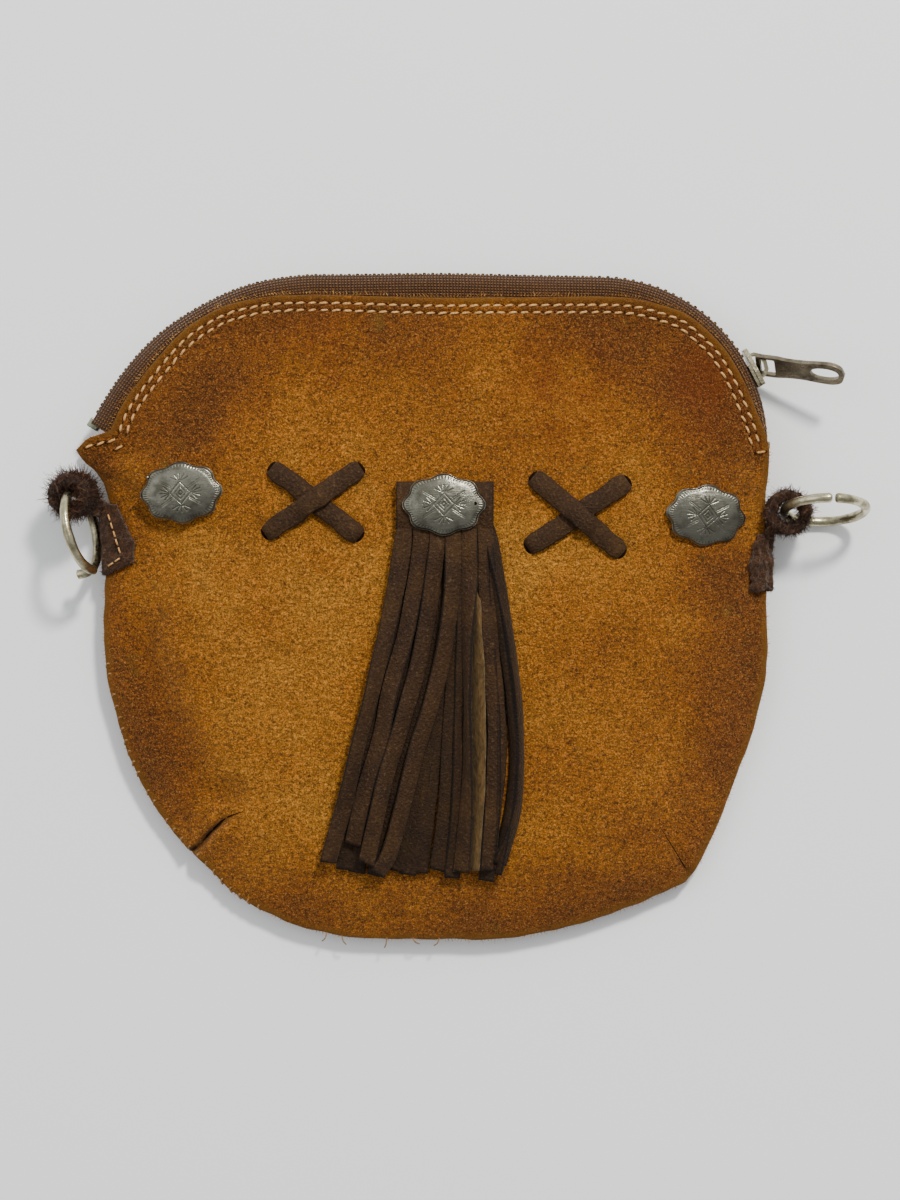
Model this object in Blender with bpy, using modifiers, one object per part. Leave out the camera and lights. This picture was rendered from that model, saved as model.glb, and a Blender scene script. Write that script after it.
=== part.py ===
"""Fringed suede zip bag: two suede panels, a size 5 metal zip along the top, two ring
tabs with open rings, three scalloped conchos, two crossed lacings and a leather fringe.

Frame: metres, +Z up. The bag lies on its back. The origin is on the flat underside of
the back panel, at the middle of the bag; +X runs to the zip pull's side and +Y to the zip.
Lengths below are in millimetres and are scaled by MM where a mesh is made.
"""

import math

import bmesh
import bpy
from mathutils import Matrix, Vector

MM = 0.001

# ---------------------------------------------------------------- driving dimensions
SUEDE_T = 1.6            # panel thickness
SEAM_GAP = 0.3           # between the two panels at the seam
CROWN_Z = 16.5           # highest point of the front panel's face
CROWN_POWER = 3.2        # how late the front panel falls away to its edge
CENTRE = (0.0, -5.0)     # centre that both panels' rings shrink towards
SEAM_LOW_Z = 4.6         # seam height along the bottom
SEAM_HIGH_Z = 7.5        # seam height beside the ring tabs
TURN_UP = 0.20           # outer share of the back panel that turns up off the table
MOUTH_Z = 13.7           # underside of the front panel along the zip
CHAIN_Z = 7.8            # middle of the zip chain
CHAIN_T = 2.8            # thickness of the teeth, in and out of the bag
TOOTH_PITCH = 2.5
TOOTH_LEN = 1.0
ROW_SLIT = 1.2           # open slit that the slider's post runs in
TAPE_T = 0.7
ARC_C = (50.7, 46.2)     # centre of the zip's round corner
ARC_R = 49.6             # radius of the chain's centre line there
SLIDER_DEG = 27.0        # where the slider stands on that corner
RING_R = 12.05           # centre line of a ring's wire
WIRE_R = 1.45
THONG_W, THONG_T = 4.7, 1.4
FRINGE_T = 1.3
CONCHO_W, CONCHO_H, CONCHO_T = 12.25, 9.1, 1.3   # half length, half height, edge

# Edge of both panels, anticlockwise from the left ear.
EDGE = [
    (-105.6, 44.7), (-102.9, 41.0), (-100.0, 38.6), (-97.7, 35.2), (-95.8, 29.0),
    (-94.6, 18.0), (-96.9, 7.6), (-97.8, -6.9), (-96.9, -20.7), (-93.9, -34.2),
    (-90.0, -47.7), (-83.4, -60.6), (-74.7, -72.3), (-67.5, -79.2), (-61.0, -86.5),
    (-53.1, -91.8), (-39.6, -97.8), (-25.2, -101.1), (-10.8, -101.7), (3.6, -101.9),
    (18.0, -102.0), (32.4, -100.2), (47.1, -96.6), (61.8, -91.5), (70.0, -87.9),
    (76.5, -84.9), (80.7, -79.5), (84.9, -71.1), (90.6, -56.7), (95.7, -42.6),
    (99.6, -28.5), (101.2, -14.4), (100.8, 0.0), (100.5, 12.0), (100.3, 28.6),
    (101.0, 37.0), (101.5, 44.1), (99.9, 51.0), (97.5, 57.3), (93.6, 66.3),
    (88.2, 75.3), (82.8, 80.7), (76.5, 85.7), (67.5, 88.8), (57.6, 90.6),
    (36.0, 90.7), (18.0, 90.6), (0.0, 90.5), (-14.7, 90.9), (-34.8, 91.4),
    (-48.3, 90.8), (-59.6, 88.5), (-68.4, 84.4), (-76.0, 78.6), (-82.8, 70.9),
    (-89.4, 62.4), (-93.0, 56.7), (-95.5, 50.6), (-102.2, 48.3),
]

# Chain centre line before the round corner, from the left end.
CHAIN_RUN = [
    (-101.4, 51.7), (-91.8, 66.7), (-81.2, 78.4), (-68.3, 87.2), (-54.2, 93.4),
    (-39.2, 96.1), (-24.3, 96.4), (3.3, 96.7), (31.8, 96.1),
]

CONCHOS = {"left": (-73.7, 32.0, 4.0), "center": (4.2, 28.2, 0.0), "right": (82.1, 25.4, -7.0)}
FRINGE_TOP = (-9.9, 18.9, 35.1)
FRINGE_CUT_Y = 21.0
FRINGE_FRONT_ENDS = [(-30.4, -79.5), (-20.5, -78.0), (-14.6, -80.0), (-8.6, -81.0), (9.3, -81.0), (17.2, -80.4)]
FRINGE_BACK_ENDS = [(-25.6, -77.0), (-15.4, -82.5), (-9.2, -82.5), (-2.6, -80.5), (3.5, -81.0), (24.4, -78.6)]


# ---------------------------------------------------------------- scene and helpers
for old in list(bpy.data.objects):
    bpy.data.objects.remove(old, do_unlink=True)

parts = bpy.data.collections.new("fringed_suede_bag")
cutters = bpy.data.collections.new("cutters")
bpy.context.scene.collection.children.link(parts)
bpy.context.scene.collection.children.link(cutters)
cutters.hide_render = True


def material(name, colour, rough, metallic=0.0):
    made = bpy.data.materials.new(name)
    made.use_nodes = True
    shader = made.node_tree.nodes["Principled BSDF"]
    shader.inputs["Base Color"].default_value = (*colour, 1)
    shader.inputs["Roughness"].default_value = rough
    shader.inputs["Metallic"].default_value = metallic
    return made


def add(name, mesh, colour, rough=0.9, metallic=0.0, origin=None):
    """An object in the parts collection; origin (mm) is where its own origin sits."""
    obj = bpy.data.objects.new(name, mesh)
    parts.objects.link(obj)
    mesh.materials.append(material(name, colour, rough, metallic))
    if origin is not None:
        shift = Vector(origin) * MM
        mesh.transform(Matrix.Translation(-shift))
        obj.location = shift
    return obj


def cutter(name, mesh):
    obj = bpy.data.objects.new(name, mesh)
    cutters.objects.link(obj)
    obj.hide_render = True
    obj.display_type = "WIRE"
    return obj


def boolean(obj, other, operation):
    mod = obj.modifiers.new(other.name, "BOOLEAN")
    mod.operation = operation
    mod.solver = "EXACT"
    mod.object = other


def solidify(obj, thickness, offset=0.0):
    mod = obj.modifiers.new("thickness", "SOLIDIFY")
    mod.thickness = thickness * MM
    mod.offset = offset
    return mod


def surface(name, points, faces):
    mesh = bpy.data.meshes.new(name)
    mesh.from_pydata([Vector(p) * MM for p in points], [], faces)
    mesh.update()
    return mesh


def strip(name, rows):
    """An open surface through rows of points, each row running across it."""
    wide = len(rows[0])
    points = [p for row in rows for p in row]
    faces = [
        (i * wide + j, i * wide + j + 1, (i + 1) * wide + j + 1, (i + 1) * wide + j)
        for i in range(len(rows) - 1)
        for j in range(wide - 1)
    ]
    return surface(name, points, faces)


def box(name, size, matrix):
    mesh = bpy.data.meshes.new(name)
    bm = bmesh.new()
    bmesh.ops.create_cube(bm, size=1.0)
    bmesh.ops.scale(bm, vec=Vector(size) * MM, verts=bm.verts)
    bmesh.ops.transform(bm, matrix=matrix, verts=bm.verts)
    bmesh.ops.recalc_face_normals(bm, faces=bm.faces)
    bm.to_mesh(mesh)
    bm.free()
    return mesh


def cylinder(name, radius, height, matrix, sides=16):
    mesh = bpy.data.meshes.new(name)
    bm = bmesh.new()
    bmesh.ops.create_cone(bm, cap_ends=True, segments=sides, radius1=radius * MM, radius2=radius * MM, depth=height * MM)
    bmesh.ops.transform(bm, matrix=matrix, verts=bm.verts)
    bmesh.ops.recalc_face_normals(bm, faces=bm.faces)
    bm.to_mesh(mesh)
    bm.free()
    return mesh


def slab(name, outline, thickness, matrix):
    """A flat outline (mm) raised by thickness about its own plane, then placed."""
    mesh = bpy.data.meshes.new(name)
    bm = bmesh.new()
    low = [bm.verts.new((x * MM, y * MM, -thickness / 2 * MM)) for x, y in outline]
    face = bm.faces.new(low)
    raised = bmesh.ops.extrude_face_region(bm, geom=[face])["geom"]
    bmesh.ops.translate(bm, vec=(0, 0, thickness * MM), verts=[v for v in raised if isinstance(v, bmesh.types.BMVert)])
    bmesh.ops.recalc_face_normals(bm, faces=bm.faces)
    bmesh.ops.transform(bm, matrix=matrix, verts=bm.verts)
    bmesh.ops.recalc_face_normals(bm, faces=bm.faces)
    bm.to_mesh(mesh)
    bm.free()
    return mesh


def axes(origin, x, y, z):
    """A matrix whose columns are three unit directions, at origin in mm."""
    made = Matrix((x, y, z)).transposed().to_4x4()
    made.translation = Vector(origin) * MM
    return made


def at(x, y, z):
    return Matrix.Translation(Vector((x, y, z)) * MM)


def tube(name, points, radius, closed=False, resolution=2):
    """A wire as a bevelled curve, turned into a welded mesh."""
    curve = bpy.data.curves.new(name, "CURVE")
    curve.dimensions = "3D"
    curve.bevel_depth = radius * MM
    curve.bevel_resolution = resolution
    curve.use_fill_caps = not closed
    spline = curve.splines.new("POLY")
    spline.points.add(len(points) - 1)
    for slot, p in zip(spline.points, points):
        slot.co = (*(Vector(p) * MM), 1)
    spline.use_cyclic_u = closed
    temp = bpy.data.objects.new(name + "_curve", curve)
    bpy.context.scene.collection.objects.link(temp)
    graph = bpy.context.evaluated_depsgraph_get()
    mesh = bpy.data.meshes.new_from_object(temp.evaluated_get(graph))
    bpy.data.objects.remove(temp, do_unlink=True)
    bm = bmesh.new()
    bm.from_mesh(mesh)
    bmesh.ops.remove_doubles(bm, verts=bm.verts, dist=1e-6)
    bmesh.ops.recalc_face_normals(bm, faces=bm.faces)
    bm.to_mesh(mesh)
    bm.free()
    mesh.materials.clear()
    return mesh


def smooth(u):
    u = min(1.0, max(0.0, u))
    return u * u * (3 - 2 * u)


def spline_points(points, step):
    """Points every step (mm) along a Catmull-Rom curve through the given points."""
    dense = []
    for i in range(len(points) - 1):
        p0 = Vector(points[max(i - 1, 0)])
        p1, p2 = Vector(points[i]), Vector(points[i + 1])
        p3 = Vector(points[min(i + 2, len(points) - 1)])
        for k in range(24):
            t = k / 24
            dense.append(0.5 * ((2 * p1) + (p2 - p0) * t + (2 * p0 - 5 * p1 + 4 * p2 - p3) * t * t + (3 * p1 - p0 - 3 * p2 + p3) * t ** 3))
    dense.append(Vector(points[-1]))
    lengths = [0.0]
    for a, b in zip(dense, dense[1:]):
        lengths.append(lengths[-1] + (b - a).length)
    count = max(1, round(lengths[-1] / step))
    out, j = [], 0
    for k in range(count + 1):
        want = lengths[-1] * k / count
        while j < len(lengths) - 2 and lengths[j + 1] < want:
            j += 1
        span = max(lengths[j + 1] - lengths[j], 1e-9)
        out.append(dense[j].lerp(dense[j + 1], (want - lengths[j]) / span))
    return out


# ---------------------------------------------------------------- form of the bag
def seam_z(y):
    return SEAM_LOW_Z + (SEAM_HIGH_Z - SEAM_LOW_Z) * smooth((y + 70) / 90)


def mouth(y):
    """0 along the sewn seam, 1 where the zip holds the two panels fully apart."""
    return smooth((y - 26) / (58 - 26))


def front_under(y):
    """Underside of the front panel's edge at a height y up the bag."""
    return seam_z(y) + SEAM_GAP / 2 + (MOUTH_Z - seam_z(y) - SEAM_GAP / 2) * mouth(y)


def back_under(y):
    return (seam_z(y) - SEAM_GAP / 2 - SUEDE_T) * (1 - mouth(y))


def edge_at(angle):
    """Where a ray from CENTRE meets the panels' edge: (distance, y there)."""
    dx, dy = math.cos(angle), math.sin(angle)
    for i, (x1, y1) in enumerate(EDGE):
        x2, y2 = EDGE[(i + 1) % len(EDGE)]
        ax, ay, bx, by = x1 - CENTRE[0], y1 - CENTRE[1], x2 - CENTRE[0], y2 - CENTRE[1]
        ex, ey = bx - ax, by - ay
        cross = dx * ey - dy * ex
        if abs(cross) < 1e-12:
            continue
        far = (ax * ey - ay * ex) / cross
        along = (ax * dy - ay * dx) / cross
        if far > 0 and -1e-9 <= along <= 1 + 1e-9:
            return far, y1 + (y2 - y1) * along
    raise ValueError(angle)


def face_z(x, y):
    """Height of the front panel's outer face."""
    rx, ry = x - CENTRE[0], y - CENTRE[1]
    reach, ye = edge_at(math.atan2(ry, rx))
    share = min(1.0, math.hypot(rx, ry) / reach)
    low = front_under(ye) + SUEDE_T
    return low + (CROWN_Z - low) * (1 - share ** CROWN_POWER)


def under_z(x, y):
    """Height of the back panel's underside."""
    rx, ry = x - CENTRE[0], y - CENTRE[1]
    reach, ye = edge_at(math.atan2(ry, rx))
    return back_z(min(1.0, math.hypot(rx, ry) / reach), ye)


def back_z(share, ye):
    turn = max(0.0, (share - (1 - TURN_UP)) / TURN_UP)
    return back_under(ye) * turn ** 1.6


def panel(name, shares, height, colour, hub):
    """Rings of the edge shrunk towards CENTRE, as one open surface, thickened upwards."""
    points, faces, n = [], [], len(EDGE)
    for share in shares:
        for x, y in EDGE:
            points.append((CENTRE[0] + (x - CENTRE[0]) * share, CENTRE[1] + (y - CENTRE[1]) * share, height(share, y)))
    for r in range(len(shares) - 1):
        for i in range(n):
            j = (i + 1) % n
            faces.append((r * n + i, r * n + j, (r + 1) * n + j, (r + 1) * n + i))
    last = (len(shares) - 1) * n
    if hub:
        points.append((*CENTRE, height(0.0, 0.0)))
        faces += [(last + i, last + (i + 1) % n, len(points) - 1) for i in range(n)]
    else:
        faces.append(tuple(last + i for i in range(n)))
    obj = add(name, surface(name, points, faces), colour, 0.95)
    return obj


SUEDE = (0.342, 0.122, 0.012)
DARK = (0.048, 0.030, 0.021)


def front_height(share, y):
    low = front_under(y) + SUEDE_T
    return low + (CROWN_Z - low) * (1 - share ** CROWN_POWER)


front = panel("front_panel", [1.0, 0.97, 0.91, 0.82, 0.68, 0.45], front_height, SUEDE, True)
solidify(front, SUEDE_T, -1.0)
back = panel("back_panel", [1.0, 0.95, 0.89, 0.80], back_z, SUEDE, False)
solidify(back, SUEDE_T, 1.0)


# ---------------------------------------------------------------- zip
arc_end = -2.4
run = spline_points([(*p, 0) for p in CHAIN_RUN] + [(ARC_C[0], ARC_C[1] + ARC_R, 0)], 1.25)
arc_steps = round(math.radians(90 - arc_end) * ARC_R / 1.25)
arc = []
for k in range(1, arc_steps + 1):
    a = math.radians(90 + (arc_end - 90) * k / arc_steps)
    arc.append(Vector((ARC_C[0] + ARC_R * math.cos(a), ARC_C[1] + ARC_R * math.sin(a), 0)))
chain = run + arc
LAST_RUN = len(run)          # stations past this one lie on the round corner


def inward(path, i):
    """Unit direction in the plane, square to the path, into the bag."""
    along = path[min(i + 1, len(path) - 1)] - path[max(i - 1, 0)]
    along.normalize()
    return Vector((along.y, -along.x, 0))


def teeth(name, side, phase):
    """One row: a bead along the tape's edge with a tooth at every second station."""
    bead_out, bead_in = 2.4, 1.5
    points, faces = [], []

    def station(s):
        i = min(int(s), len(chain) - 2)
        return chain[i].lerp(chain[i + 1], s - i)

    half = TOOTH_LEN / 2 / 1.25
    first, last = 3, len(chain) - 5
    stops = []
    for k in range(first, last + 1):
        if k % 2 == phase:
            stops += [(k - half, True), (k + half, False)]
    previous = None
    for s, tooth in stops:
        p = station(s)
        base = len(points)
        points.append((p.x, p.y, CHAIN_Z + side * bead_out))
        points.append((p.x, p.y, CHAIN_Z + side * bead_in))
        if previous is not None:
            faces.append((previous, previous + 1, base + 1, base))
        tip_z = ROW_SLIT / 2 if s > LAST_RUN - 3 else -0.7
        points.append((p.x, p.y, CHAIN_Z + side * tip_z))
        if previous is not None and not tooth:
            faces.append((previous + 1, previous + 2, base + 2, base + 1))
        previous = base
    mesh = surface(name, points, faces)
    obj = add(name, mesh, (0.36, 0.30, 0.22), 0.4, 0.9)
    solidify(obj, CHAIN_T)
    return obj


teeth("zip_teeth_front", 1, 0)
teeth("zip_teeth_back", -1, 1)


def tape(name, side):
    rows, n = [], len(chain)
    for i in list(range(0, n - 1, 4)) + [n - 1]:
        p, inn = chain[i], inward(chain, i)
        rows.append([])
        for depth, rise in ((0.0, 2.75), (0.0, 4.0), (1.6, 5.25), (7.0, 5.25), (11.5, 5.25)):
            q = p + inn * depth
            if side > 0:
                limit = front_under(q.y) - 0.3 - TAPE_T / 2
                z = min(CHAIN_Z + rise, max(limit, CHAIN_Z + 2.75))
            else:
                limit = back_under(q.y) + SUEDE_T + 0.35 + TAPE_T / 2
                z = max(CHAIN_Z - rise, min(limit, CHAIN_Z - 2.75))
            rows[-1].append((q.x, q.y, z))
    obj = add(name, strip(name, rows), (0.08, 0.035, 0.022), 0.9)
    solidify(obj, TAPE_T)
    return obj


tape("zip_tape_front", 1)
tape("zip_tape_back", -1)


def arc_frame(deg):
    """Point on the chain's centre line with outward, along (anticlockwise) and up."""
    a = math.radians(deg)
    out = Vector((math.cos(a), math.sin(a), 0))
    along = Vector((-math.sin(a), math.cos(a), 0))
    return Vector((ARC_C[0] + ARC_R * out.x, ARC_C[1] + ARC_R * out.y, CHAIN_Z)), out, along


UP = Vector((0, 0, 1))
METAL = (0.40, 0.34, 0.26)

# The bottom stop is a folded clip round the chain's left end.
p0, n0 = chain[1], inward(chain, 1)
t0 = Vector((-n0.y, n0.x, 0))
frame0 = axes((p0.x, p0.y, CHAIN_Z), t0, n0, UP)
add("zip_bottom_stop", box("zip_bottom_stop", (3.0, 3.4, 4.9), frame0), (0.33, 0.36, 0.28), 0.45, 0.9)
for side, word in ((1, "front"), (-1, "back")):
    where, out, along = arc_frame(arc_end + 2.6)
    frame1 = axes(where + UP * side * 1.5, along, out, UP)
    add("zip_top_stop_" + word, box("stop", (2.2, 3.2, 1.8), frame1), METAL, 0.4, 0.9)

# Slider: two plates joined by a post between the rows, flanges that hold the tapes,
# and a bridge that carries the pull.
where, out, along = arc_frame(SLIDER_DEG)
slider_frame = axes(where, along, UP, out)          # local x along the chain, y up, z outward


def local(x, y, z):
    return slider_frame @ at(x, y, z)


shield = [(-6, -4.6), (-1.5, -4.6), (2.5, -3.9), (5.2, -3.2), (6, -2.2), (6, 2.2), (5.2, 3.2), (2.5, 3.9), (-1.5, 4.6), (-6, 4.6)]
slider_mesh = slab("zip_slider", shield, 1.2, local(0, 0, 2.4))
slider = add("zip_slider", slider_mesh, METAL, 0.35, 0.95)
boolean(slider, cutter("slider_inner", slab("slider_inner", [(x, y * 0.88) for x, y in shield], 1.2, local(0, 0, -2.75))), "UNION")
boolean(slider, cutter("slider_post", box("slider_post", (4.0, 0.55, 5.3), local(-3.6, 0, -0.1))), "UNION")
for sy in (-1, 1):
    boolean(slider, cutter(f"flange_out{sy}", box("f", (7.0, 0.9, 1.6), local(-2.4, 3.6 * sy, 1.5))), "UNION")
    boolean(slider, cutter(f"flange_in{sy}", box("f", (7.0, 0.9, 1.2), local(-2.4, 3.55 * sy, -1.7))), "UNION")
bridge = [(-4.2, 2.7), (-4.0, 4.6), (-2.6, 6.3), (0.0, 6.9), (2.6, 6.3), (4.0, 4.6), (4.2, 2.7),
          (3.1, 2.7), (2.9, 4.3), (1.9, 5.3), (0.0, 5.8), (-1.9, 5.3), (-2.9, 4.3), (-3.1, 2.7)]
bridge_frame = axes(where, along, out, along.cross(out))
boolean(slider, cutter("slider_bridge", slab("slider_bridge", bridge, 1.7, bridge_frame)), "UNION")

# Pull: a flat plate with a window that the bridge passes through and an oval end hole.
PULL_P = Vector((0.927, -0.150, 0.342)).normalized()
PULL_V = Vector((-0.185, 0.611, 0.770))
PULL_V = (PULL_V - PULL_P * PULL_V.dot(PULL_P)).normalized()
pivot = where + out * 4.35
pull_frame = axes(pivot, PULL_P, PULL_V, PULL_P.cross(PULL_V))


def oval(cx, hx, hy, n=20, power=2.6):
    """A rounded rectangle as a superellipse."""
    pts = []
    for k in range(n):
        a = 2 * math.pi * (k + 0.5) / n
        c, s = math.cos(a), math.sin(a)
        pts.append((cx + hx * math.copysign(abs(c) ** (2 / power), c), hy * math.copysign(abs(s) ** (2 / power), s)))
    return pts


pull_outline = [(-0.7, -4.2), (5.5, -4.2), (8.5, -3.3), (13.0, -3.2), (18.0, -3.9), (22.5, -4.2), (25.4, -3.2), (26.6, 0.0),
                (25.4, 3.2), (22.5, 4.2), (18.0, 3.9), (13.0, 3.2), (8.5, 3.3), (5.5, 4.2), (-0.7, 4.2)]
pull = add("zip_pull", slab("zip_pull", pull_outline, 1.4, pull_frame), METAL, 0.35, 0.95, origin=pivot)
boolean(pull, cutter("pull_window", box("w", (4.4, 6.4, 3.0), pull_frame @ at(2.9, 0, 0))), "DIFFERENCE")
boolean(pull, cutter("pull_hole", slab("h", oval(20.6, 4.1, 2.3), 3.0, pull_frame)), "DIFFERENCE")


# ---------------------------------------------------------------- rings and their tabs
def ring(name, centre, long_dir, short_dir, start, sweep, spread, origin):
    """An open ring; its ends pass each other by spread along the ring's axis."""
    normal = long_dir.cross(short_dir)
    count = 26
    pts = []
    for k in range(count + 1):
        a = math.radians(start + sweep * k / count)
        near = abs(2 * k / count - 1)
        shift = math.copysign(smooth((near - 0.5) / 0.5), 2 * k / count - 1) * spread / 2
        pts.append(Vector(centre) + (long_dir * math.cos(a) + short_dir * math.sin(a)) * RING_R + normal * shift)
    return add(name, tube(name, pts, WIRE_R), (0.42, 0.38, 0.28), 0.3, 0.95, origin=origin)


# Right ring: upright, its plane leaning a little; angle 0 is its far end.
R_SHORT = Vector((0.0, 0.266, 0.964)).normalized()
R_LONG = Vector((1, 0, 0))
RIGHT_RING_C = Vector((117.9, 26.9, 13.3))
RIGHT_LOOP = Vector((107.1, 26.2, 11.2))
ring("ring_right", RIGHT_RING_C, R_LONG, R_SHORT, 88.0, 355.5, 0.0, RIGHT_LOOP)

# Left ring: hangs beside the edge, leaning outwards at the top.
L_LONG = Vector((0.225, -0.974, 0.0)).normalized()
L_SHORT = Vector((-0.974 * 0.27, -0.225 * 0.27, 0.963)).normalized()
LEFT_RING_C = Vector((-103.8, 20.4, 13.3))
LEFT_LOOP = LEFT_RING_C - L_LONG * (RING_R - 0.9)
ring("ring_left", LEFT_RING_C, L_LONG, L_SHORT, 4.0, 352.0, 2.6, LEFT_LOOP)


def loop_mesh(name, centre, axis, outer, inner, width):
    """A rolled end of strap: a short tube."""
    x = axis.orthogonal().normalized()
    frame = axes(centre, x, axis.cross(x), axis)
    profile = bpy.data.meshes.new(name)
    bm = bmesh.new()
    n = 20
    rings = []
    for r, z in ((outer, -width / 2), (outer, width / 2), (inner, width / 2), (inner, -width / 2)):
        rings.append([bm.verts.new((r * MM * math.cos(2 * math.pi * k / n), r * MM * math.sin(2 * math.pi * k / n), z * MM)) for k in range(n)])
    for i in range(4):
        for k in range(n):
            a, b = rings[i], rings[(i + 1) % 4]
            bm.faces.new((a[k], a[(k + 1) % n], b[(k + 1) % n], b[k]))
    bmesh.ops.recalc_face_normals(bm, faces=bm.faces)
    bmesh.ops.transform(bm, matrix=frame, verts=bm.verts)
    bm.to_mesh(profile)
    bm.free()
    return profile


def edge_x(y, sign):
    """The panels' edge at a height y, on the side given by sign."""
    best = 0.0
    for i, (x1, y1) in enumerate(EDGE):
        x2, y2 = EDGE[(i + 1) % len(EDGE)]
        if (y1 - y) * (y2 - y) <= 0 and y1 != y2:
            x = x1 + (x2 - x1) * (y - y1) / (y2 - y1)
            if x * sign > best:
                best = x * sign
    return best * sign


STRAP_T = 1.8


def tail_rows(sign, outer_line, inner_line, tuck_in):
    """Rows of a strap that wraps the panels' edge: from its end on the front face,
    over the edge, down the side and a little way under the back."""
    rows = []
    for (xo, yo), (xi, yi) in zip(outer_line, inner_line):
        lift = 0.5 + STRAP_T / 2

        def over(share):
            x, y = xo + (xi - xo) * share, yo + (yi - yo) * share
            return (x, y, face_z(x, y) + lift)

        edge = edge_x(yo, sign)
        top = front_under(yo) + SUEDE_T + lift
        under = edge - sign * 0.8
        low = under_z(under, yo) - lift - 0.1
        deep = edge - sign * tuck_in
        tuck = under_z(deep - sign * STRAP_T, yo) - lift
        rows.append([
            over(1.0), over(0.62), over(0.3), (xo, yo, top - 1.0),
            (xo, yo, low + 1.2), (under, yo, low), (deep, yo, tuck),
        ])
    return rows


right_tail = strip("ring_tab_right", tail_rows(
    1, [(102.1, 2.9), (102.1, 9.0), (102.1, 14.5), (102.1, 20.0)],
    [(96.2, 2.9), (95.9, 9.0), (96.6, 14.5), (98.0, 20.0)], 2.0))
tab_r = add("ring_tab_right", right_tail, DARK, 0.95)
solidify(tab_r, STRAP_T)
boolean(tab_r, cutter("tab_loop_right", loop_mesh("l", RIGHT_LOOP, UP, 6.3, 3.95, 9.5)), "UNION")
boolean(tab_r, cutter("tab_neck_right", box("n", (2.2, 4.6, 5.5), at(102.0, 20.6, 9.4))), "UNION")

left_tail = strip("ring_tab_left", tail_rows(
    -1, [(-97.8, 7.6), (-97.6, 14.0), (-98.2, 21.0), (-98.9, 28.6)],
    [(-88.4, 11.0), (-88.6, 17.0), (-91.2, 22.5), (-93.6, 28.6)], 2.0))
tab_l = add("ring_tab_left", left_tail, DARK, 0.95)
solidify(tab_l, STRAP_T)
boolean(tab_l, cutter("tab_loop_left", loop_mesh("l", LEFT_LOOP, L_SHORT, 6.3, 3.95, 9.5)), "UNION")
neck_frame = axes((-99.9, 28.0, 10.8), Vector((0.88, -0.47, 0)), Vector((0.47, 0.88, 0)), UP)
boolean(tab_l, cutter("tab_neck_left", box("n", (4.2, 5.0, 5.0), neck_frame)), "UNION")


# ---------------------------------------------------------------- fringe
FRINGE_LIFT_BACK = 0.5 + FRINGE_T / 2
FRINGE_LIFT_FRONT = FRINGE_LIFT_BACK + FRINGE_T + 0.35


def fringe(name, ends, lift):
    x0, x1, top = FRINGE_TOP
    count = len(ends)
    width = (x1 - x0) / count
    points, faces = [], []

    def put(x, y, extra=0.0):
        points.append((x, y, face_z(x, y) + lift + extra))
        return len(points) - 1

    gap = 0.2
    columns = []
    for i in range(count):
        columns += [x0 + width * i + gap, x0 + width * (i + 1) - gap]
    rows = [[put(x, y) for x in columns] for y in (top, (top + FRINGE_CUT_Y) / 2, FRINGE_CUT_Y)]
    for r in range(2):
        for c in range(len(columns) - 1):
            faces.append((rows[r][c], rows[r + 1][c], rows[r + 1][c + 1], rows[r][c + 1]))
    for i, (ex, ey) in enumerate(ends):
        a, b = rows[2][2 * i], rows[2][2 * i + 1]
        start = x0 + width * (i + 0.5)
        for k in range(1, 9):
            t = k / 8
            cx = start + (ex - start) * (0.35 * t + 0.65 * t ** 1.5)
            cy = FRINGE_CUT_Y + (ey - FRINGE_CUT_Y) * t
            half = width / 2 - gap
            c, d = put(cx - half, cy), put(cx + half, cy)
            faces.append((a, c, d, b))
            a, b = c, d
    obj = add(name, surface(name, points, faces), DARK, 0.6)
    solidify(obj, FRINGE_T)
    return obj


fringe_back = fringe("fringe_back", FRINGE_BACK_ENDS, FRINGE_LIFT_BACK)
fringe_front = fringe("fringe_front", FRINGE_FRONT_ENDS, FRINGE_LIFT_FRONT)


# ---------------------------------------------------------------- conchos
def concho_mesh(name, frame):
    """A scalloped oval plate, domed on its face and flat behind."""
    mesh = bpy.data.meshes.new(name)
    bm = bmesh.new()
    n = 32
    heights = ((1.0, 0.0), (1.0, CONCHO_T * 0.55), (0.86, CONCHO_T), (0.5, CONCHO_T + 0.9))
    rings = []
    for share, z in heights:
        row = []
        for k in range(n):
            a = 2 * math.pi * k / n
            lobe = 1 - 0.075 * (0.5 - 0.5 * math.cos(8 * a)) if share > 0.9 else 1 - 0.03
            row.append(bm.verts.new((CONCHO_W * share * lobe * math.cos(a) * MM, CONCHO_H * share * lobe * math.sin(a) * MM, z * MM)))
        rings.append(row)
    for a, b in zip(rings, rings[1:]):
        for k in range(n):
            bm.faces.new((a[k], a[(k + 1) % n], b[(k + 1) % n], b[k]))
    hub = bm.verts.new((0, 0, (CONCHO_T + 1.2) * MM))
    for k in range(n):
        bm.faces.new((rings[-1][k], rings[-1][(k + 1) % n], hub))
    bm.faces.new(list(reversed(rings[0])))
    bmesh.ops.recalc_face_normals(bm, faces=bm.faces)
    bmesh.ops.transform(bm, matrix=frame, verts=bm.verts)
    bm.to_mesh(mesh)
    bm.free()
    return mesh


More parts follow.
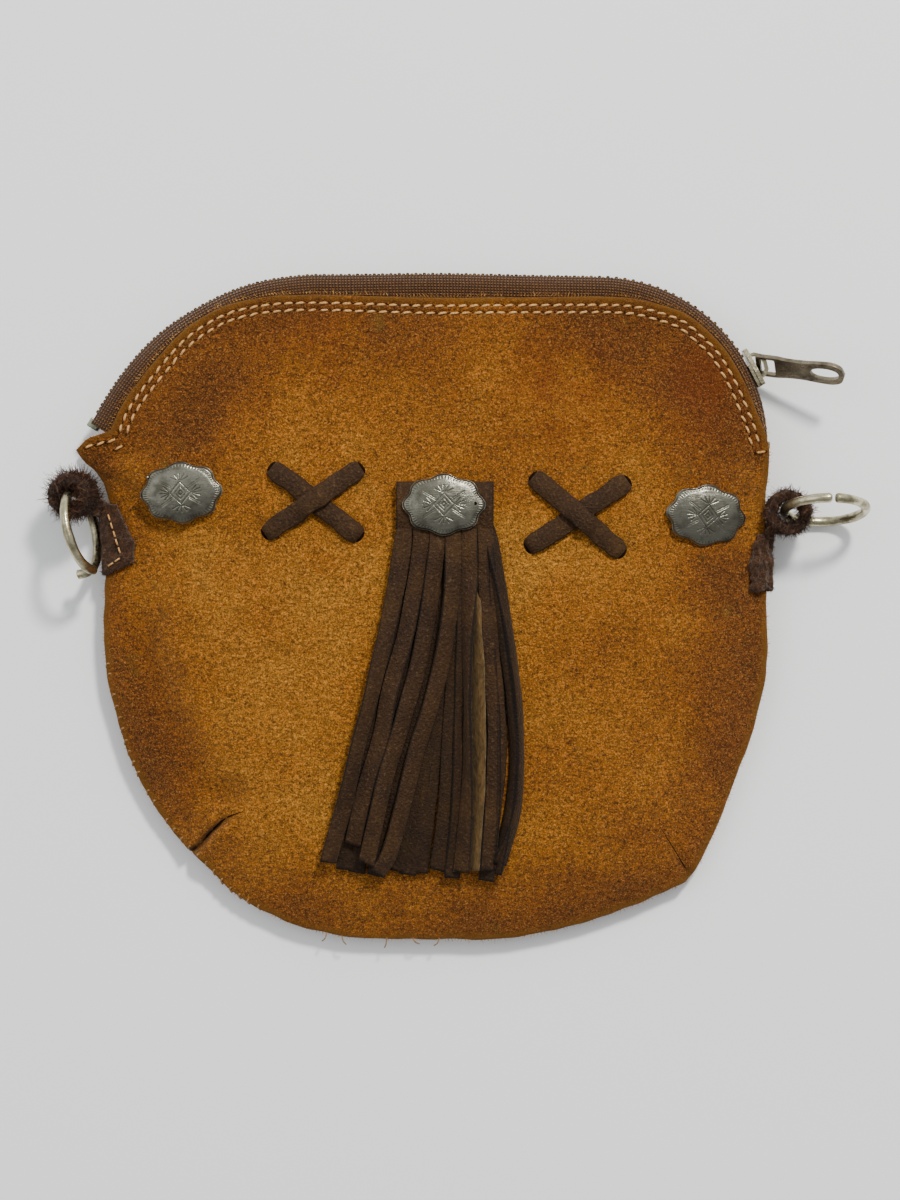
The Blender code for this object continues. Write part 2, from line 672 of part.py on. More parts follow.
for word, (cx, cy, turn) in CONCHOS.items():
    h = 3.0
    sx = (face_z(cx + h, cy) - face_z(cx - h, cy)) / (2 * h)
    sy = (face_z(cx, cy + h) - face_z(cx, cy - h)) / (2 * h)
    normal = Vector((-sx, -sy, 1)).normalized()
    x = Vector((math.cos(math.radians(turn)), math.sin(math.radians(turn)), 0))
    x = (x - normal * x.dot(normal)).normalized()
    stack = 0.45 if word != "center" else FRINGE_LIFT_FRONT + FRINGE_T / 2 + 0.4
    base = Vector((cx, cy, face_z(cx, cy))) + normal * (stack + (0.35 if word != "center" else 0.1))
    frame = axes(base, x, normal.cross(x), normal)
    depth = stack + SUEDE_T + 1.0
    plate = add("concho_" + word, concho_mesh("concho_" + word, frame), (0.30, 0.28, 0.26), 0.35, 0.95)
    boolean(plate, cutter("post_" + word, cylinder("p", 2.3, depth + 0.6, frame @ at(0, 0, -depth / 2 + 0.3))), "UNION")
    boolean(plate, cutter("thread_" + word, cylinder("t", 1.5, 2.6, frame @ at(0, 0, -depth + 1.2))), "DIFFERENCE")
    screw = add("concho_screw_" + word, cylinder("s", 4.6, 0.9, frame @ at(0, 0, -depth - 0.3 - 0.45)), METAL, 0.35, 0.95)
    boolean(screw, cutter("shank_" + word, cylinder("k", 1.15, 2.2, frame @ at(0, 0, -depth + 0.4), 12)), "UNION")
    boolean(screw, cutter("slot_" + word, box("o", (12, 0.9, 0.8), frame @ at(0, 0, -depth - 1.2))), "DIFFERENCE")
    hole = cutter("hole_" + word, cylinder("h", 2.7, 14, frame @ at(0, 0, -3)))
    boolean(front, hole, "DIFFERENCE")
    if word == "center":
        boolean(fringe_front, hole, "DIFFERENCE")
        boolean(fringe_back, hole, "DIFFERENCE")


# ---------------------------------------------------------------- lacings
def lacing(name, a, b, raised):
    """A thong that comes up through one slit, lies on the face and goes down another."""
    start, end = Vector((*a, 0)), Vector((*b, 0))
    along = (end - start).normalized()
    across = Vector((-along.y, along.x, 0))
    length = (end - start).length
    path = []

    def ground(t):
        q = start + along * t
        return face_z(q.x, q.y)

    def end_points(t0, sign):
        g = ground(t0)
        inside = g - SUEDE_T - 1.0 - THONG_T / 2
        top = g + 0.5 + THONG_T / 2
        return [(t0 - sign * 5.0, inside), (t0 - sign * 1.5, inside), (t0, inside + 1.0), (t0, top - 1.0), (t0 + sign * 1.6, top)]

    path += end_points(0.0, 1)
    inner = 8
    for k in range(1, inner):
        t = 1.6 + (length - 3.2) * k / inner
        hump = 0.0
        if raised:
            hump = (THONG_T + 0.5) * smooth(1 - (abs(t - length / 2) - 3.6) / 4.5)
        path.append((t, ground(t) + 0.5 + THONG_T / 2 + hump))
    path += list(reversed(end_points(length, -1)))
    rows = []
    for t, z in path:
        q = start + along * t
        lean = across * (THONG_W / 2)
        rows.append([(q.x - lean.x, q.y - lean.y, z), (q.x + lean.x, q.y + lean.y, z)])
    obj = add(name, strip(name, rows), DARK, 0.6)
    solidify(obj, THONG_T)
    for k, q in enumerate((start, end)):
        frame = axes((q.x, q.y, face_z(q.x, q.y)), along, across, UP)
        slit = cutter(f"slit_{name}_{k}", box("s", (THONG_T + 0.8, THONG_W + 0.8, 8.0), frame))
        boolean(front, slit, "DIFFERENCE")


lacing("lacing_left_over", (-48.5, 19.9), (-21.0, 39.0), True)
lacing("lacing_left_under", (-46.5, 39.2), (-21.3, 19.2), False)
lacing("lacing_right_over", (31.2, 36.3), (56.8, 14.2), True)
lacing("lacing_right_under", (29.7, 15.7), (58.3, 35.1), False)

# The slider swings about the centre of the round corner.
shift = Vector((ARC_C[0], ARC_C[1], CHAIN_Z)) * MM
slider.data.transform(Matrix.Translation(-shift))
slider.location = shift
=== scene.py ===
import math
import random

import bmesh
import bpy
import numpy as np
from mathutils import Matrix, Vector, noise


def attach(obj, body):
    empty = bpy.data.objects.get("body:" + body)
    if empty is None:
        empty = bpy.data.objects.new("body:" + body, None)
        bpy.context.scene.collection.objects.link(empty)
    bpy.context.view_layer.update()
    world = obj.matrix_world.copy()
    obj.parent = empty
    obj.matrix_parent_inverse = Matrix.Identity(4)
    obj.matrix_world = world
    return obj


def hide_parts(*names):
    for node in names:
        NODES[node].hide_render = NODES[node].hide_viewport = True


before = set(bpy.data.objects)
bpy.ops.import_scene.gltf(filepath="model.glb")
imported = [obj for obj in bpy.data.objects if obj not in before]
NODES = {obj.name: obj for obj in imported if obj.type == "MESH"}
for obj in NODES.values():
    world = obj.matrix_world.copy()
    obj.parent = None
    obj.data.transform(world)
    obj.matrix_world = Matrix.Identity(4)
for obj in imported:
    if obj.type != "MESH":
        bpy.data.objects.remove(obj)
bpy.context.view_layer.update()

MM = 0.001
rng = np.random.default_rng(7)
random.seed(7)
BAG = "bag"

# ------------------------------------------------------------------ camera first
scene = bpy.context.scene
cam_data = bpy.data.cameras.new("overhead")
cam = bpy.data.objects.new("overhead", cam_data)
scene.collection.objects.link(cam)
CAM_H = 0.80
cam.location = (0.0060, 0.0, CAM_H + 0.009)
cam.rotation_euler = (0, 0, 0)
cam_data.sensor_fit = "VERTICAL"
cam_data.angle = 2 * math.atan(0.180 / CAM_H)
cam_data.clip_start = 0.01
scene.camera = cam


# ------------------------------------------------------------------ node helpers
class Nodes:
    """A small builder round one material's node tree."""

    def __init__(self, name):
        self.mat = bpy.data.materials.new(name)
        self.mat.use_nodes = True
        self.tree = self.mat.node_tree
        self.bsdf = self.tree.nodes["Principled BSDF"]
        self.coord = self.tree.nodes.new("ShaderNodeTexCoord")

    def new(self, kind, **settings):
        node = self.tree.nodes.new("ShaderNode" + kind)
        for key, value in settings.items():
            setattr(node, key, value)
        return node

    def link(self, a, b):
        self.tree.links.new(a, b)

    def put(self, socket, value):
        if hasattr(value, "is_linked") or hasattr(value, "links"):
            self.link(value, socket)
        else:
            socket.default_value = value

    def mapping(self, scale=(1, 1, 1), rot=(0, 0, 0), loc=(0, 0, 0)):
        node = self.new("Mapping")
        node.inputs["Scale"].default_value = scale
        node.inputs["Rotation"].default_value = rot
        node.inputs["Location"].default_value = loc
        self.link(self.coord.outputs["Object"], node.inputs["Vector"])
        return node.outputs["Vector"]

    def noise(self, scale, detail=3.0, rough=0.5, vector=None, distort=0.0):
        node = self.new("TexNoise")
        node.inputs["Scale"].default_value = scale
        node.inputs["Detail"].default_value = detail
        node.inputs["Roughness"].default_value = rough
        node.inputs["Distortion"].default_value = distort
        self.link(vector or self.coord.outputs["Object"], node.inputs["Vector"])
        return node.outputs["Fac"]

    def voronoi(self, scale, vector=None, feature="F1", out="Distance"):
        node = self.new("TexVoronoi", feature=feature)
        node.inputs["Scale"].default_value = scale
        self.link(vector or self.coord.outputs["Object"], node.inputs["Vector"])
        return node.outputs[out]

    def ramp(self, fac, stops):
        node = self.new("ValToRGB")
        self.link(fac, node.inputs["Fac"])
        e = node.color_ramp.elements
        while len(e) < len(stops):
            e.new(0.5)
        for slot, (pos, col) in zip(e, stops):
            slot.position = pos
            slot.color = (*col, 1) if len(col) == 3 else col
        return node.outputs["Color"]

    def fit(self, fac, a, b, lo=0.0, hi=1.0, smooth=True):
        node = self.new("MapRange", interpolation_type="SMOOTHSTEP" if smooth else "LINEAR")
        self.link(fac, node.inputs["Value"])
        for key, v in (("From Min", a), ("From Max", b), ("To Min", lo), ("To Max", hi)):
            node.inputs[key].default_value = v
        return node.outputs["Result"]

    def mix(self, fac, a, b, blend="MIX"):
        node = self.new("Mix", data_type="RGBA", blend_type=blend)
        if isinstance(fac, (int, float)):
            node.inputs["Factor"].default_value = fac
        else:
            self.link(fac, node.inputs["Factor"])
        for socket, value in ((node.inputs[6], a), (node.inputs[7], b)):
            if isinstance(value, tuple):
                socket.default_value = (*value, 1)
            else:
                self.link(value, socket)
        return node.outputs[2]

    def math(self, op, a, b=None, c=None, clamp=False):
        node = self.new("Math", operation=op, use_clamp=clamp)
        for socket, value in zip(node.inputs, (a, b, c)):
            if value is None:
                continue
            if isinstance(value, (int, float)):
                socket.default_value = value
            else:
                self.link(value, socket)
        return node.outputs[0]

    def attr(self, name, out="Fac"):
        node = self.new("Attribute", attribute_name=name)
        return node.outputs[out]

    def bump(self, height, distance, strength=1.0, normal=None):
        node = self.new("Bump")
        node.inputs["Strength"].default_value = strength
        node.inputs["Distance"].default_value = distance
        self.link(height, node.inputs["Height"])
        if normal is not None:
            self.link(normal, node.inputs["Normal"])
        return node.outputs["Normal"]

    def spot(self, x, y, radius, fall=0.5):
        """1 inside a round patch of the object (mm), fading to 0 outside it."""
        vec = self.new("VectorMath", operation="MULTIPLY_ADD")
        self.link(self.coord.outputs["Object"], vec.inputs[0])
        vec.inputs[1].default_value = (1, 1, 0)
        vec.inputs[2].default_value = (-x * MM, -y * MM, 0)
        size = self.new("VectorMath", operation="LENGTH")
        self.link(vec.outputs[0], size.inputs[0])
        return self.fit(size.outputs["Value"], radius * MM, radius * fall * MM)

    def finish(self, colour, rough, normal=None, metallic=0.0, sheen=0.0, sheen_rough=0.5, sheen_tint=(1, 1, 1), specular=0.5):
        b = self.bsdf.inputs
        self.link(colour, b["Base Color"]) if not isinstance(colour, tuple) else setattr(b["Base Color"], "default_value", (*colour, 1))
        if isinstance(rough, (int, float)):
            b["Roughness"].default_value = rough
        else:
            self.link(rough, b["Roughness"])
        b["Metallic"].default_value = metallic
        b["Sheen Weight"].default_value = sheen
        b["Sheen Roughness"].default_value = sheen_rough
        b["Sheen Tint"].default_value = (*sheen_tint, 1)
        b["Specular IOR Level"].default_value = specular
        if normal is not None:
            self.link(normal, b["Normal"])
        return self.mat


def rgb(r, g, b):
    """An sRGB colour 0-255 as linear light."""
    return tuple((c / 255 / 12.92) if c <= 10 else ((c / 255 + 0.055) / 1.055) ** 2.4 for c in (r, g, b))


# ------------------------------------------------------------------ materials
def suede_tan(name, back=False):
    n = Nodes(name)
    mid = n.noise(95, 4, 0.6, distort=0.4)
    big = n.noise(24, 3, 0.55, distort=0.5)
    grain = n.noise(1180, 4, 0.74, distort=0.9)
    speck = n.noise(2300, 3, 0.7)
    brushed = n.noise(1.0, 3, 0.6, n.mapping((420, 1150, 700), (0, 0, -0.25)), 0.7)
    # The darkening attribute picks the base colour: partly handling dirt, partly painted shade towards the rim.
    dirt_and_shade = n.math("ADD", n.attr("dirt_and_shade"), n.fit(big, 0.3, 0.7, -0.22, 0.24, False))
    dirt_and_shade = n.math("ADD", dirt_and_shade, n.fit(mid, 0.3, 0.7, -0.12, 0.14, False))
    base = n.ramp(dirt_and_shade, [(0.0, rgb(147, 96, 30)), (0.35, rgb(132, 80, 22)), (0.7, rgb(108, 60, 15)), (1.0, rgb(88, 47, 12))])
    tone = n.fit(grain, 0.36, 0.64, 0.34, 1.74, False)
    tone = n.math("MULTIPLY", tone, n.fit(speck, 0.36, 0.64, 0.44, 1.62, False))
    tone = n.math("MULTIPLY", tone, n.fit(brushed, 0.36, 0.64, 0.74, 1.24, False))
    tone = n.math("MULTIPLY", tone, n.fit(mid, 0.30, 0.70, 0.88, 1.10, False))
    scaled = n.new("VectorMath", operation="SCALE")
    n.link(base, scaled.inputs[0])
    n.link(tone, scaled.inputs["Scale"])
    col = scaled.outputs[0]
    # The longest fibres catch more light and stand paler, and a few lie dark.
    col = n.mix(n.fit(speck, 0.56, 0.70, 0.0, 0.42), col, rgb(206, 160, 92))
    col = n.mix(n.fit(mid, 0.60, 0.75, 0.0, 0.20), col, rgb(112, 96, 32))
    if not back:
        for x, y, r, strength in ((84, 63, 24, 0.34), (39, 60, 26, 0.32), (-34, 74, 20, 0.16), (96, -40, 16, 0.22)):
            patch = n.math("MULTIPLY", n.spot(x, y, r, 0.2), strength)
            col = n.mix(n.math("MULTIPLY", patch, n.fit(mid, 0.35, 0.6, 0.25, 1.0)), col, rgb(98, 34, 6))
    # Painted shade at the rim, mixed with dirt: the last rows before the cut edge go darker where the edge turns down.
    edge = n.attr("rim")
    col = n.mix(n.math("MULTIPLY", n.fit(edge, 0.30, 0.95), n.fit(mid, 0.35, 0.6, 0.35, 0.85)), col, rgb(104, 66, 16))
    # Painted shade in the bottoms of creases, darts and troughs, and round the lacing slits.
    dent_shade = n.attr("dent_shade")
    col = n.mix(n.math("MULTIPLY", dent_shade, 0.85, clamp=True), col, rgb(44, 20, 4))
    height = n.math("ADD", n.math("MULTIPLY", grain, 0.65), n.math("MULTIPLY", speck, 0.35))
    normal = n.bump(height, 0.0012, 0.9)
    rough = n.fit(grain, 0.3, 0.7, 0.98, 0.88)
    return n.finish(col, rough, normal, 0, 0.18, 0.5, (1.0, 0.70, 0.36), 0.10)


def suede_dark(name):
    n = Nodes(name)
    fibre = n.noise(1.0, 4, 0.7, n.mapping((900, 900, 420)), 1.6)
    mid = n.noise(380, 4, 0.6)
    col = n.ramp(fibre, [(0.25, rgb(14, 6, 2)), (0.48, rgb(48, 26, 12)), (0.62, rgb(78, 46, 23)), (0.8, rgb(130, 88, 50))])
    col = n.mix(n.fit(mid, 0.5, 0.7, 0, 0.45), col, rgb(92, 56, 32))
    col = n.mix(n.fit(mid, 0.45, 0.28, 0, 0.6), col, rgb(26, 12, 8))
    normal = n.bump(n.math("ADD", fibre, mid), 0.0012, 0.9)
    return n.finish(col, 0.96, normal, 0, 0.25, 0.5, (0.9, 0.75, 0.6), 0.1)


def leather_dark(name, tone=1.0):
    n = Nodes(name)
    big = n.noise(60, 4, 0.6, distort=0.5)
    grain = n.noise(1100, 4, 0.7)
    pebble = n.voronoi(1500)
    scuff = n.noise(1.0, 5, 0.7, n.mapping((500, 120, 300)), 0.8)

    def shade(*c):
        return tuple(v * tone * k for v, k in zip(rgb(*c), (0.86, 0.76, 0.56)))
    col = n.ramp(big, [(0.3, shade(43, 27, 14)), (0.52, shade(57, 39, 22)), (0.78, shade(73, 53, 32))])
    col = n.mix(n.fit(grain, 0.52, 0.72, 0, 0.55), col, shade(104, 82, 62))
    col = n.mix(n.fit(grain, 0.47, 0.30, 0, 0.65), col, shade(22, 13, 8))
    col = n.mix(n.fit(scuff, 0.60, 0.78, 0, 0.35), col, shade(110, 90, 70))
    edge = n.attr("rim")
    col = n.mix(n.fit(edge, 0.5, 1.0, 0, 0.9), col, shade(22, 13, 8))
    height = n.math("ADD", n.math("MULTIPLY", grain, 0.6), n.math("MULTIPLY", pebble, 0.4))
    normal = n.bump(height, 0.0009, 0.8)
    return n.finish(col, n.fit(big, 0.3, 0.8, 0.66, 0.84), normal, 0, 0.06, 0.5, (0.9, 0.72, 0.55), 0.16)


def flesh_side(name):
    n = Nodes(name)
    fibre = n.noise(1.0, 4, 0.7, n.mapping((900, 260, 500)), 1.0)
    col = n.ramp(fibre, [(0.3, rgb(50, 36, 18)), (0.55, rgb(88, 66, 36)), (0.75, rgb(118, 90, 52))])
    return n.finish(col, 0.92, n.bump(fibre, 0.0008, 0.7), 0, 0.2, 0.5, (1, 0.85, 0.6), 0.15)


def zip_cloth(name):
    """Woven tape: rows of small V stitches along its length, from the piece's own u, v."""
    n = Nodes(name)
    u = n.attr("along_mm")
    v = n.attr("across_mm")
    warp = n.math("SINE", n.math("MULTIPLY", v, 2 * math.pi / 0.85))
    lean = n.math("ADD", n.math("MULTIPLY", u, 2 * math.pi / 0.95), n.math("MULTIPLY", warp, 1.5))
    lean = n.math("ADD", lean, n.fit(n.noise(420, 2, 0.5), 0.3, 0.7, -1.6, 1.6, False))
    weft = n.math("SINE", lean)
    weave = n.math("ADD", n.math("MULTIPLY", warp, 0.25), n.math("MULTIPLY", weft, 0.25))
    weave = n.math("ADD", weave, 0.5)
    grit = n.noise(900, 3, 0.6)
    col = n.ramp(weave, [(0.1, rgb(16, 8, 2)), (0.5, rgb(58, 34, 13)), (0.9, rgb(116, 80, 42))])
    col = n.mix(n.fit(grit, 0.35, 0.7, 0, 0.5), col, rgb(48, 27, 13))
    fade = n.noise(45, 2, 0.5)
    col = n.mix(n.fit(fade, 0.4, 0.7, 0, 0.2), col, rgb(82, 52, 28))
    normal = n.bump(weave, 0.0005, 0.9)
    return n.finish(col, 0.88, normal, 0, 0.15, 0.4, (1, 0.95, 0.9), 0.2)


def thread(name, tint=1.0):
    n = Nodes(name)
    twist = n.noise(1.0, 2, 0.5, n.mapping((2200, 2200, 900)))
    shade = n.noise(120, 2, 0.5)
    col = n.ramp(twist, [(0.3, tuple(tint * c for c in rgb(150, 100, 44))), (0.6, tuple(tint * c for c in rgb(206, 158, 96))), (0.8, tuple(tint * c for c in rgb(232, 194, 138)))])
    col = n.mix(n.fit(shade, 0.45, 0.7, 0, 0.4), col, tuple(tint * c for c in rgb(196, 148, 92)))
    return n.finish(col, 0.7, n.bump(twist, 0.0003, 0.8), 0, 0.1, 0.4, (1, 1, 1), 0.3)


def metal(name, light, dark, rough=0.3, tarnish=0.5, use_cavity=False, scale=1.0):
    n = Nodes(name)
    spots = n.noise(260 * scale, 5, 0.65)
    wear = n.noise(70 * scale, 3, 0.5)
    scratch = n.noise(1.0, 3, 0.7, n.mapping((260, 2600, 900), (0.3, 0.2, 0.7)))
    col = n.mix(n.fit(spots, 0.42, 0.68, 0, tarnish), light, dark)
    col = n.mix(n.fit(wear, 0.45, 0.7, 0, tarnish * 0.6), col, dark)
    if use_cavity:
        col = n.mix(n.fit(n.attr("cavity"), 0.15, 0.8, 0, 0.72), col, tuple(c * 0.2 for c in dark))
    r = n.math("ADD", n.fit(spots, 0.3, 0.7, rough - 0.08, rough + 0.16), n.fit(scratch, 0.5, 0.8, 0, 0.12))
    if use_cavity:
        r = n.math("ADD", r, n.fit(n.attr("cavity"), 0.2, 0.8, 0, 0.3))
    normal = n.bump(n.math("ADD", n.math("MULTIPLY", scratch, 0.5), n.math("MULTIPLY", spots, 0.6)), 0.0003, 0.5)
    return n.finish(col, r, normal, 1.0, 0, 0.5, (1, 1, 1), 0.5)


M_SUEDE = suede_tan("suede_tan_nap")
M_SUEDE_BACK = suede_tan("suede_tan_back", back=True)
M_DARK = suede_dark("suede_dark_nap")
M_LEATHER = leather_dark("leather_dark_grain")
# The under layer of fringe is the same leather dimmed to 0.62: painted shade where the over layer shadows it.
M_LEATHER_SHADED = leather_dark("leather_dark_under_shaded", 0.62)
M_FLESH = flesh_side("leather_flesh_side")
M_TAPE = zip_cloth("zip_tape_weave")
M_THREAD = thread("thread_cream")
M_THREAD_DIM = thread("thread_tan", 0.5)
M_RING = metal("nickel_tarnished", rgb(200, 192, 160), rgb(92, 84, 58), 0.24, 0.72)
M_ZIP = metal("zip_antique", rgb(158, 150, 124), rgb(58, 50, 34), 0.24, 0.85)
# A dimmer copy of the zip metal for the pull and the concho posts: painted shade, as both sit in shade.
M_ZIP_SHADED = metal("zip_antique_shaded", rgb(136, 126, 106), rgb(58, 48, 38), 0.30, 0.75)
M_TEETH = metal("zip_teeth_antique", rgb(104, 82, 52), rgb(40, 26, 13), 0.40, 0.85)
M_STOP = metal("zip_stop_verdigris", rgb(150, 156, 132), rgb(74, 76, 58), 0.42, 0.7)
M_CONCHO = metal("concho_oxidised", rgb(124, 122, 109), rgb(60, 57, 47), 0.27, 0.66, use_cavity=True)


# Near-black fill for needle holes, dart creases, lacing slits and the middle concho's hole: painted shadow.
def painted_shadow_fill(name):
    n = Nodes(name)
    f = n.noise(1200, 2, 0.5)
    return n.finish(n.ramp(f, [(0.3, rgb(14, 8, 4)), (0.7, rgb(34, 20, 9))]), 1.0, None, 0, 0, 0.5, (1, 1, 1), 0.05)


M_PAINTED_SHADOW = painted_shadow_fill("needle_hole_shadow")


def fibre_mat(name, stops, sheen=0.2):
    n = Nodes(name)
    pick = n.attr("pick")
    col = n.ramp(pick, stops)
    return n.finish(col, 0.95, None, 0, sheen, 0.5, (1, 0.9, 0.8), 0.1)


M_FUZZ_TAN = fibre_mat("fibre_tan", [(0.0, rgb(96, 54, 12)), (0.45, rgb(150, 92, 26)), (0.8, rgb(196, 138, 62)), (1.0, rgb(222, 176, 106))])
M_FUZZ_DARK = fibre_mat("fibre_dark", [(0.0, rgb(16, 8, 5)), (0.5, rgb(44, 24, 15)), (0.88, rgb(78, 46, 28)), (1.0, rgb(138, 98, 66))])


# ------------------------------------------------------------------ mesh helpers
def add_object(name, mesh, mat, body=BAG, smooth=True):
    obj = bpy.data.objects.new(name, mesh)
    scene.collection.objects.link(obj)
    mesh.materials.clear()
    mesh.materials.append(mat)
    if smooth:
        mesh.polygons.foreach_set("use_smooth", [True] * len(mesh.polygons))
    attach(obj, body)
    return obj


def make_mesh(name, points, faces, attrs=None):
    mesh = bpy.data.meshes.new(name)
    mesh.from_pydata([tuple(p) for p in (np.asarray(points) * MM)], [], faces)
    mesh.update()
    for key, values in (attrs or {}).items():
        layer = mesh.attributes.new(key, "FLOAT", "POINT")
        layer.data.foreach_set("value", np.asarray(values, np.float32))
    return mesh


class Pile:
    """Collects many small closed shapes into one mesh."""

    def __init__(self):
        self.points, self.faces, self.attrs = [], [], {}
        self.count = 0

    def add(self, points, faces, **attrs):
        base = self.count
        self.points.append(np.asarray(points, float))
        self.faces += [tuple(i + base for i in f) for f in faces]
        for key, value in attrs.items():
            self.attrs.setdefault(key, []).append(np.full(len(points), value) if np.isscalar(value) else np.asarray(value))
        self.count += len(points)

    def mesh(self, name):
        return make_mesh(name, np.concatenate(self.points), self.faces, {k: np.concatenate(v) for k, v in self.attrs.items()})


def tube_points(path, radius, sides=8, closed=False, flat=1.0, up=(0, 0, 1)):
    """Rings of points round a path; radius may be a list. Returns points, faces."""
    path = np.asarray(path, float)
    n = len(path)
    radius = np.full(n, radius) if np.isscalar(radius) else np.asarray(radius)
    if closed:
        tangent = np.roll(path, -1, 0) - np.roll(path, 1, 0)
    else:
        tangent = np.gradient(path, axis=0)
    tangent /= np.linalg.norm(tangent, axis=1)[:, None] + 1e-12
    # A frame carried along the path without twisting.
    side = np.cross(tangent[0], up)
    if np.linalg.norm(side) < 1e-3:
        side = np.cross(tangent[0], (0, 1, 0.1))
    side /= np.linalg.norm(side)
    points = []
    for i in range(n):
        side = side - tangent[i] * side.dot(tangent[i])
        side /= np.linalg.norm(side)
        lift = np.cross(side, tangent[i])
        for k in range(sides):
            a = 2 * math.pi * k / sides
            points.append(path[i] + radius[i] * (side * math.cos(a) + lift * math.sin(a) * flat))
    faces = []
    last = n if closed else n - 1
    for i in range(last):
        j = (i + 1) % n
        for k in range(sides):
            m = (k + 1) % sides
            faces.append((i * sides + k, i * sides + m, j * sides + m, j * sides + k))
    if not closed:
        faces.append(tuple(reversed(range(sides))))
        faces.append(tuple((n - 1) * sides + k for k in range(sides)))
    return np.array(points), faces


def catmull(points, per=8):
    points = np.asarray(points, float)
    ext = np.vstack([2 * points[0] - points[1], points, 2 * points[-1] - points[-2]])
    out = []
    for i in range(1, len(ext) - 2):
        p0, p1, p2, p3 = ext[i - 1:i + 3]
        for k in range(per):
            t = k / per
            out.append(0.5 * ((2 * p1) + (p2 - p0) * t + (2 * p0 - 5 * p1 + 4 * p2 - p3) * t * t + (3 * p1 - p0 - 3 * p2 + p3) * t ** 3))
    out.append(points[-1])
    return np.array(out)


def resample(points, count=None, step=None):
    points = np.asarray(points, float)
    seg = np.linalg.norm(np.diff(points, axis=0), axis=1)
    s = np.concatenate([[0], np.cumsum(seg)])
    if count is None:
        count = max(2, int(round(s[-1] / step)) + 1)
    want = np.linspace(0, s[-1], count)
    return np.stack([np.interp(want, s, points[:, k]) for k in range(points.shape[1])], 1)


def perlin(xs, ys, scale, seed=0.0):
    return np.array([noise.noise(Vector((x * scale, y * scale, seed))) for x, y in zip(np.ravel(xs), np.ravel(ys))]).reshape(np.shape(xs))


def sstep(u):
    u = np.clip(u, 0, 1)
    return u * u * (3 - 2 * u)


# ------------------------------------------------------------------ the bag's form (mm), as built
SUEDE_T = 1.6
CROWN_Z, CROWN_POWER = 16.5, 3.2
CENTRE = (0.0, -5.0)
MOUTH_Z, CHAIN_Z = 13.7, 7.8
EDGE = np.array([
    (-105.6, 44.7), (-102.9, 41.0), (-100.0, 38.6), (-97.7, 35.2), (-95.8, 29.0),
    (-94.6, 18.0), (-96.9, 7.6), (-97.8, -6.9), (-96.9, -20.7), (-93.9, -34.2),
    (-90.0, -47.7), (-83.4, -60.6), (-74.7, -72.3), (-67.5, -79.2), (-61.0, -86.5),
    (-53.1, -91.8), (-39.6, -97.8), (-25.2, -101.1), (-10.8, -101.7), (3.6, -101.9),
    (18.0, -102.0), (32.4, -100.2), (47.1, -96.6), (61.8, -91.5), (70.0, -87.9),
    (76.5, -84.9), (80.7, -79.5), (84.9, -71.1), (90.6, -56.7), (95.7, -42.6),
    (99.6, -28.5), (101.2, -14.4), (100.8, 0.0), (100.5, 12.0), (100.3, 28.6),
    (101.0, 37.0), (101.5, 44.1), (99.9, 51.0), (97.5, 57.3), (93.6, 66.3),
    (88.2, 75.3), (82.8, 80.7), (76.5, 85.7), (67.5, 88.8), (57.6, 90.6),
    (36.0, 90.7), (18.0, 90.6), (0.0, 90.5), (-14.7, 90.9), (-34.8, 91.4),
    (-48.3, 90.8), (-59.6, 88.5), (-68.4, 84.4), (-76.0, 78.6), (-82.8, 70.9),
    (-89.4, 62.4), (-93.0, 56.7), (-95.5, 50.6), (-102.2, 48.3),
])
SHARP = [0, 3, 14, 25, 36, 57, 58]          # corners that stay corners


def smooth_edge(step):
    """The edge as closely spaced points, rounded between its real corners."""
    out = []
    n = len(EDGE)
    for a, b in zip(SHARP, SHARP[1:] + [SHARP[0] + n]):
        run = [EDGE[k % n] for k in range(a, b + 1)]
        dense = catmull(run, 10) if len(run) > 2 else np.array(run)
        got = resample(dense, step=step)
        out.append(got[:-1])
    return np.concatenate(out)


def seam_z(y):
    return 4.6 + 2.9 * sstep((np.asarray(y) + 70) / 90)


def mouth(y):
    return sstep((np.asarray(y) - 26) / 32)


def front_under(y):
    return seam_z(y) + 0.15 + (MOUTH_Z - seam_z(y) - 0.15) * mouth(y)


def back_under(y):
    return (seam_z(y) - 0.15 - SUEDE_T) * (1 - mouth(y))


FINE = smooth_edge(1.0)
ang = np.unwrap(np.arctan2(FINE[:, 1] - CENTRE[1], FINE[:, 0] - CENTRE[0]))
reach_all = np.hypot(FINE[:, 0] - CENTRE[0], FINE[:, 1] - CENTRE[1])
wrapped = np.mod(ang, 2 * math.pi)
order = np.argsort(wrapped)
TA = np.concatenate([wrapped[order] - 2 * math.pi, wrapped[order], wrapped[order] + 2 * math.pi])
TR = np.tile(reach_all[order], 3)
TY = np.tile(FINE[order, 1], 3)


def polar(x, y):
    rx, ry = np.asarray(x) - CENTRE[0], np.asarray(y) - CENTRE[1]
    a = np.mod(np.arctan2(ry, rx), 2 * math.pi)
    reach, ye = np.interp(a, TA, TR), np.interp(a, TA, TY)
    return np.minimum(1.0, np.hypot(rx, ry) / reach), reach, ye


def seg_dist(x, y, line):
    """Distance to a polyline, signed by its side, and the share along it."""
    best = np.full(np.shape(x), 1e9)
    sign = np.ones(np.shape(x))
    share = np.zeros(np.shape(x))
    line = np.asarray(line, float)
    seg = np.linalg.norm(np.diff(line, axis=0), axis=1)
    total = seg.sum()
    s0 = 0.0
    for (a, b), length in zip(zip(line, line[1:]), seg):
        d = (b - a) / length
        t = np.clip((x - a[0]) * d[0] + (y - a[1]) * d[1], 0, length)
        qx, qy = a[0] + d[0] * t, a[1] + d[1] * t
        dist = np.hypot(x - qx, y - qy)
        hit = dist < best
        best = np.where(hit, dist, best)
        sign = np.where(hit, np.sign((x - qx) * -d[1] + (y - qy) * d[0]), sign)
        share = np.where(hit, (s0 + t) / total, share)
        s0 += length
    return best, sign, share


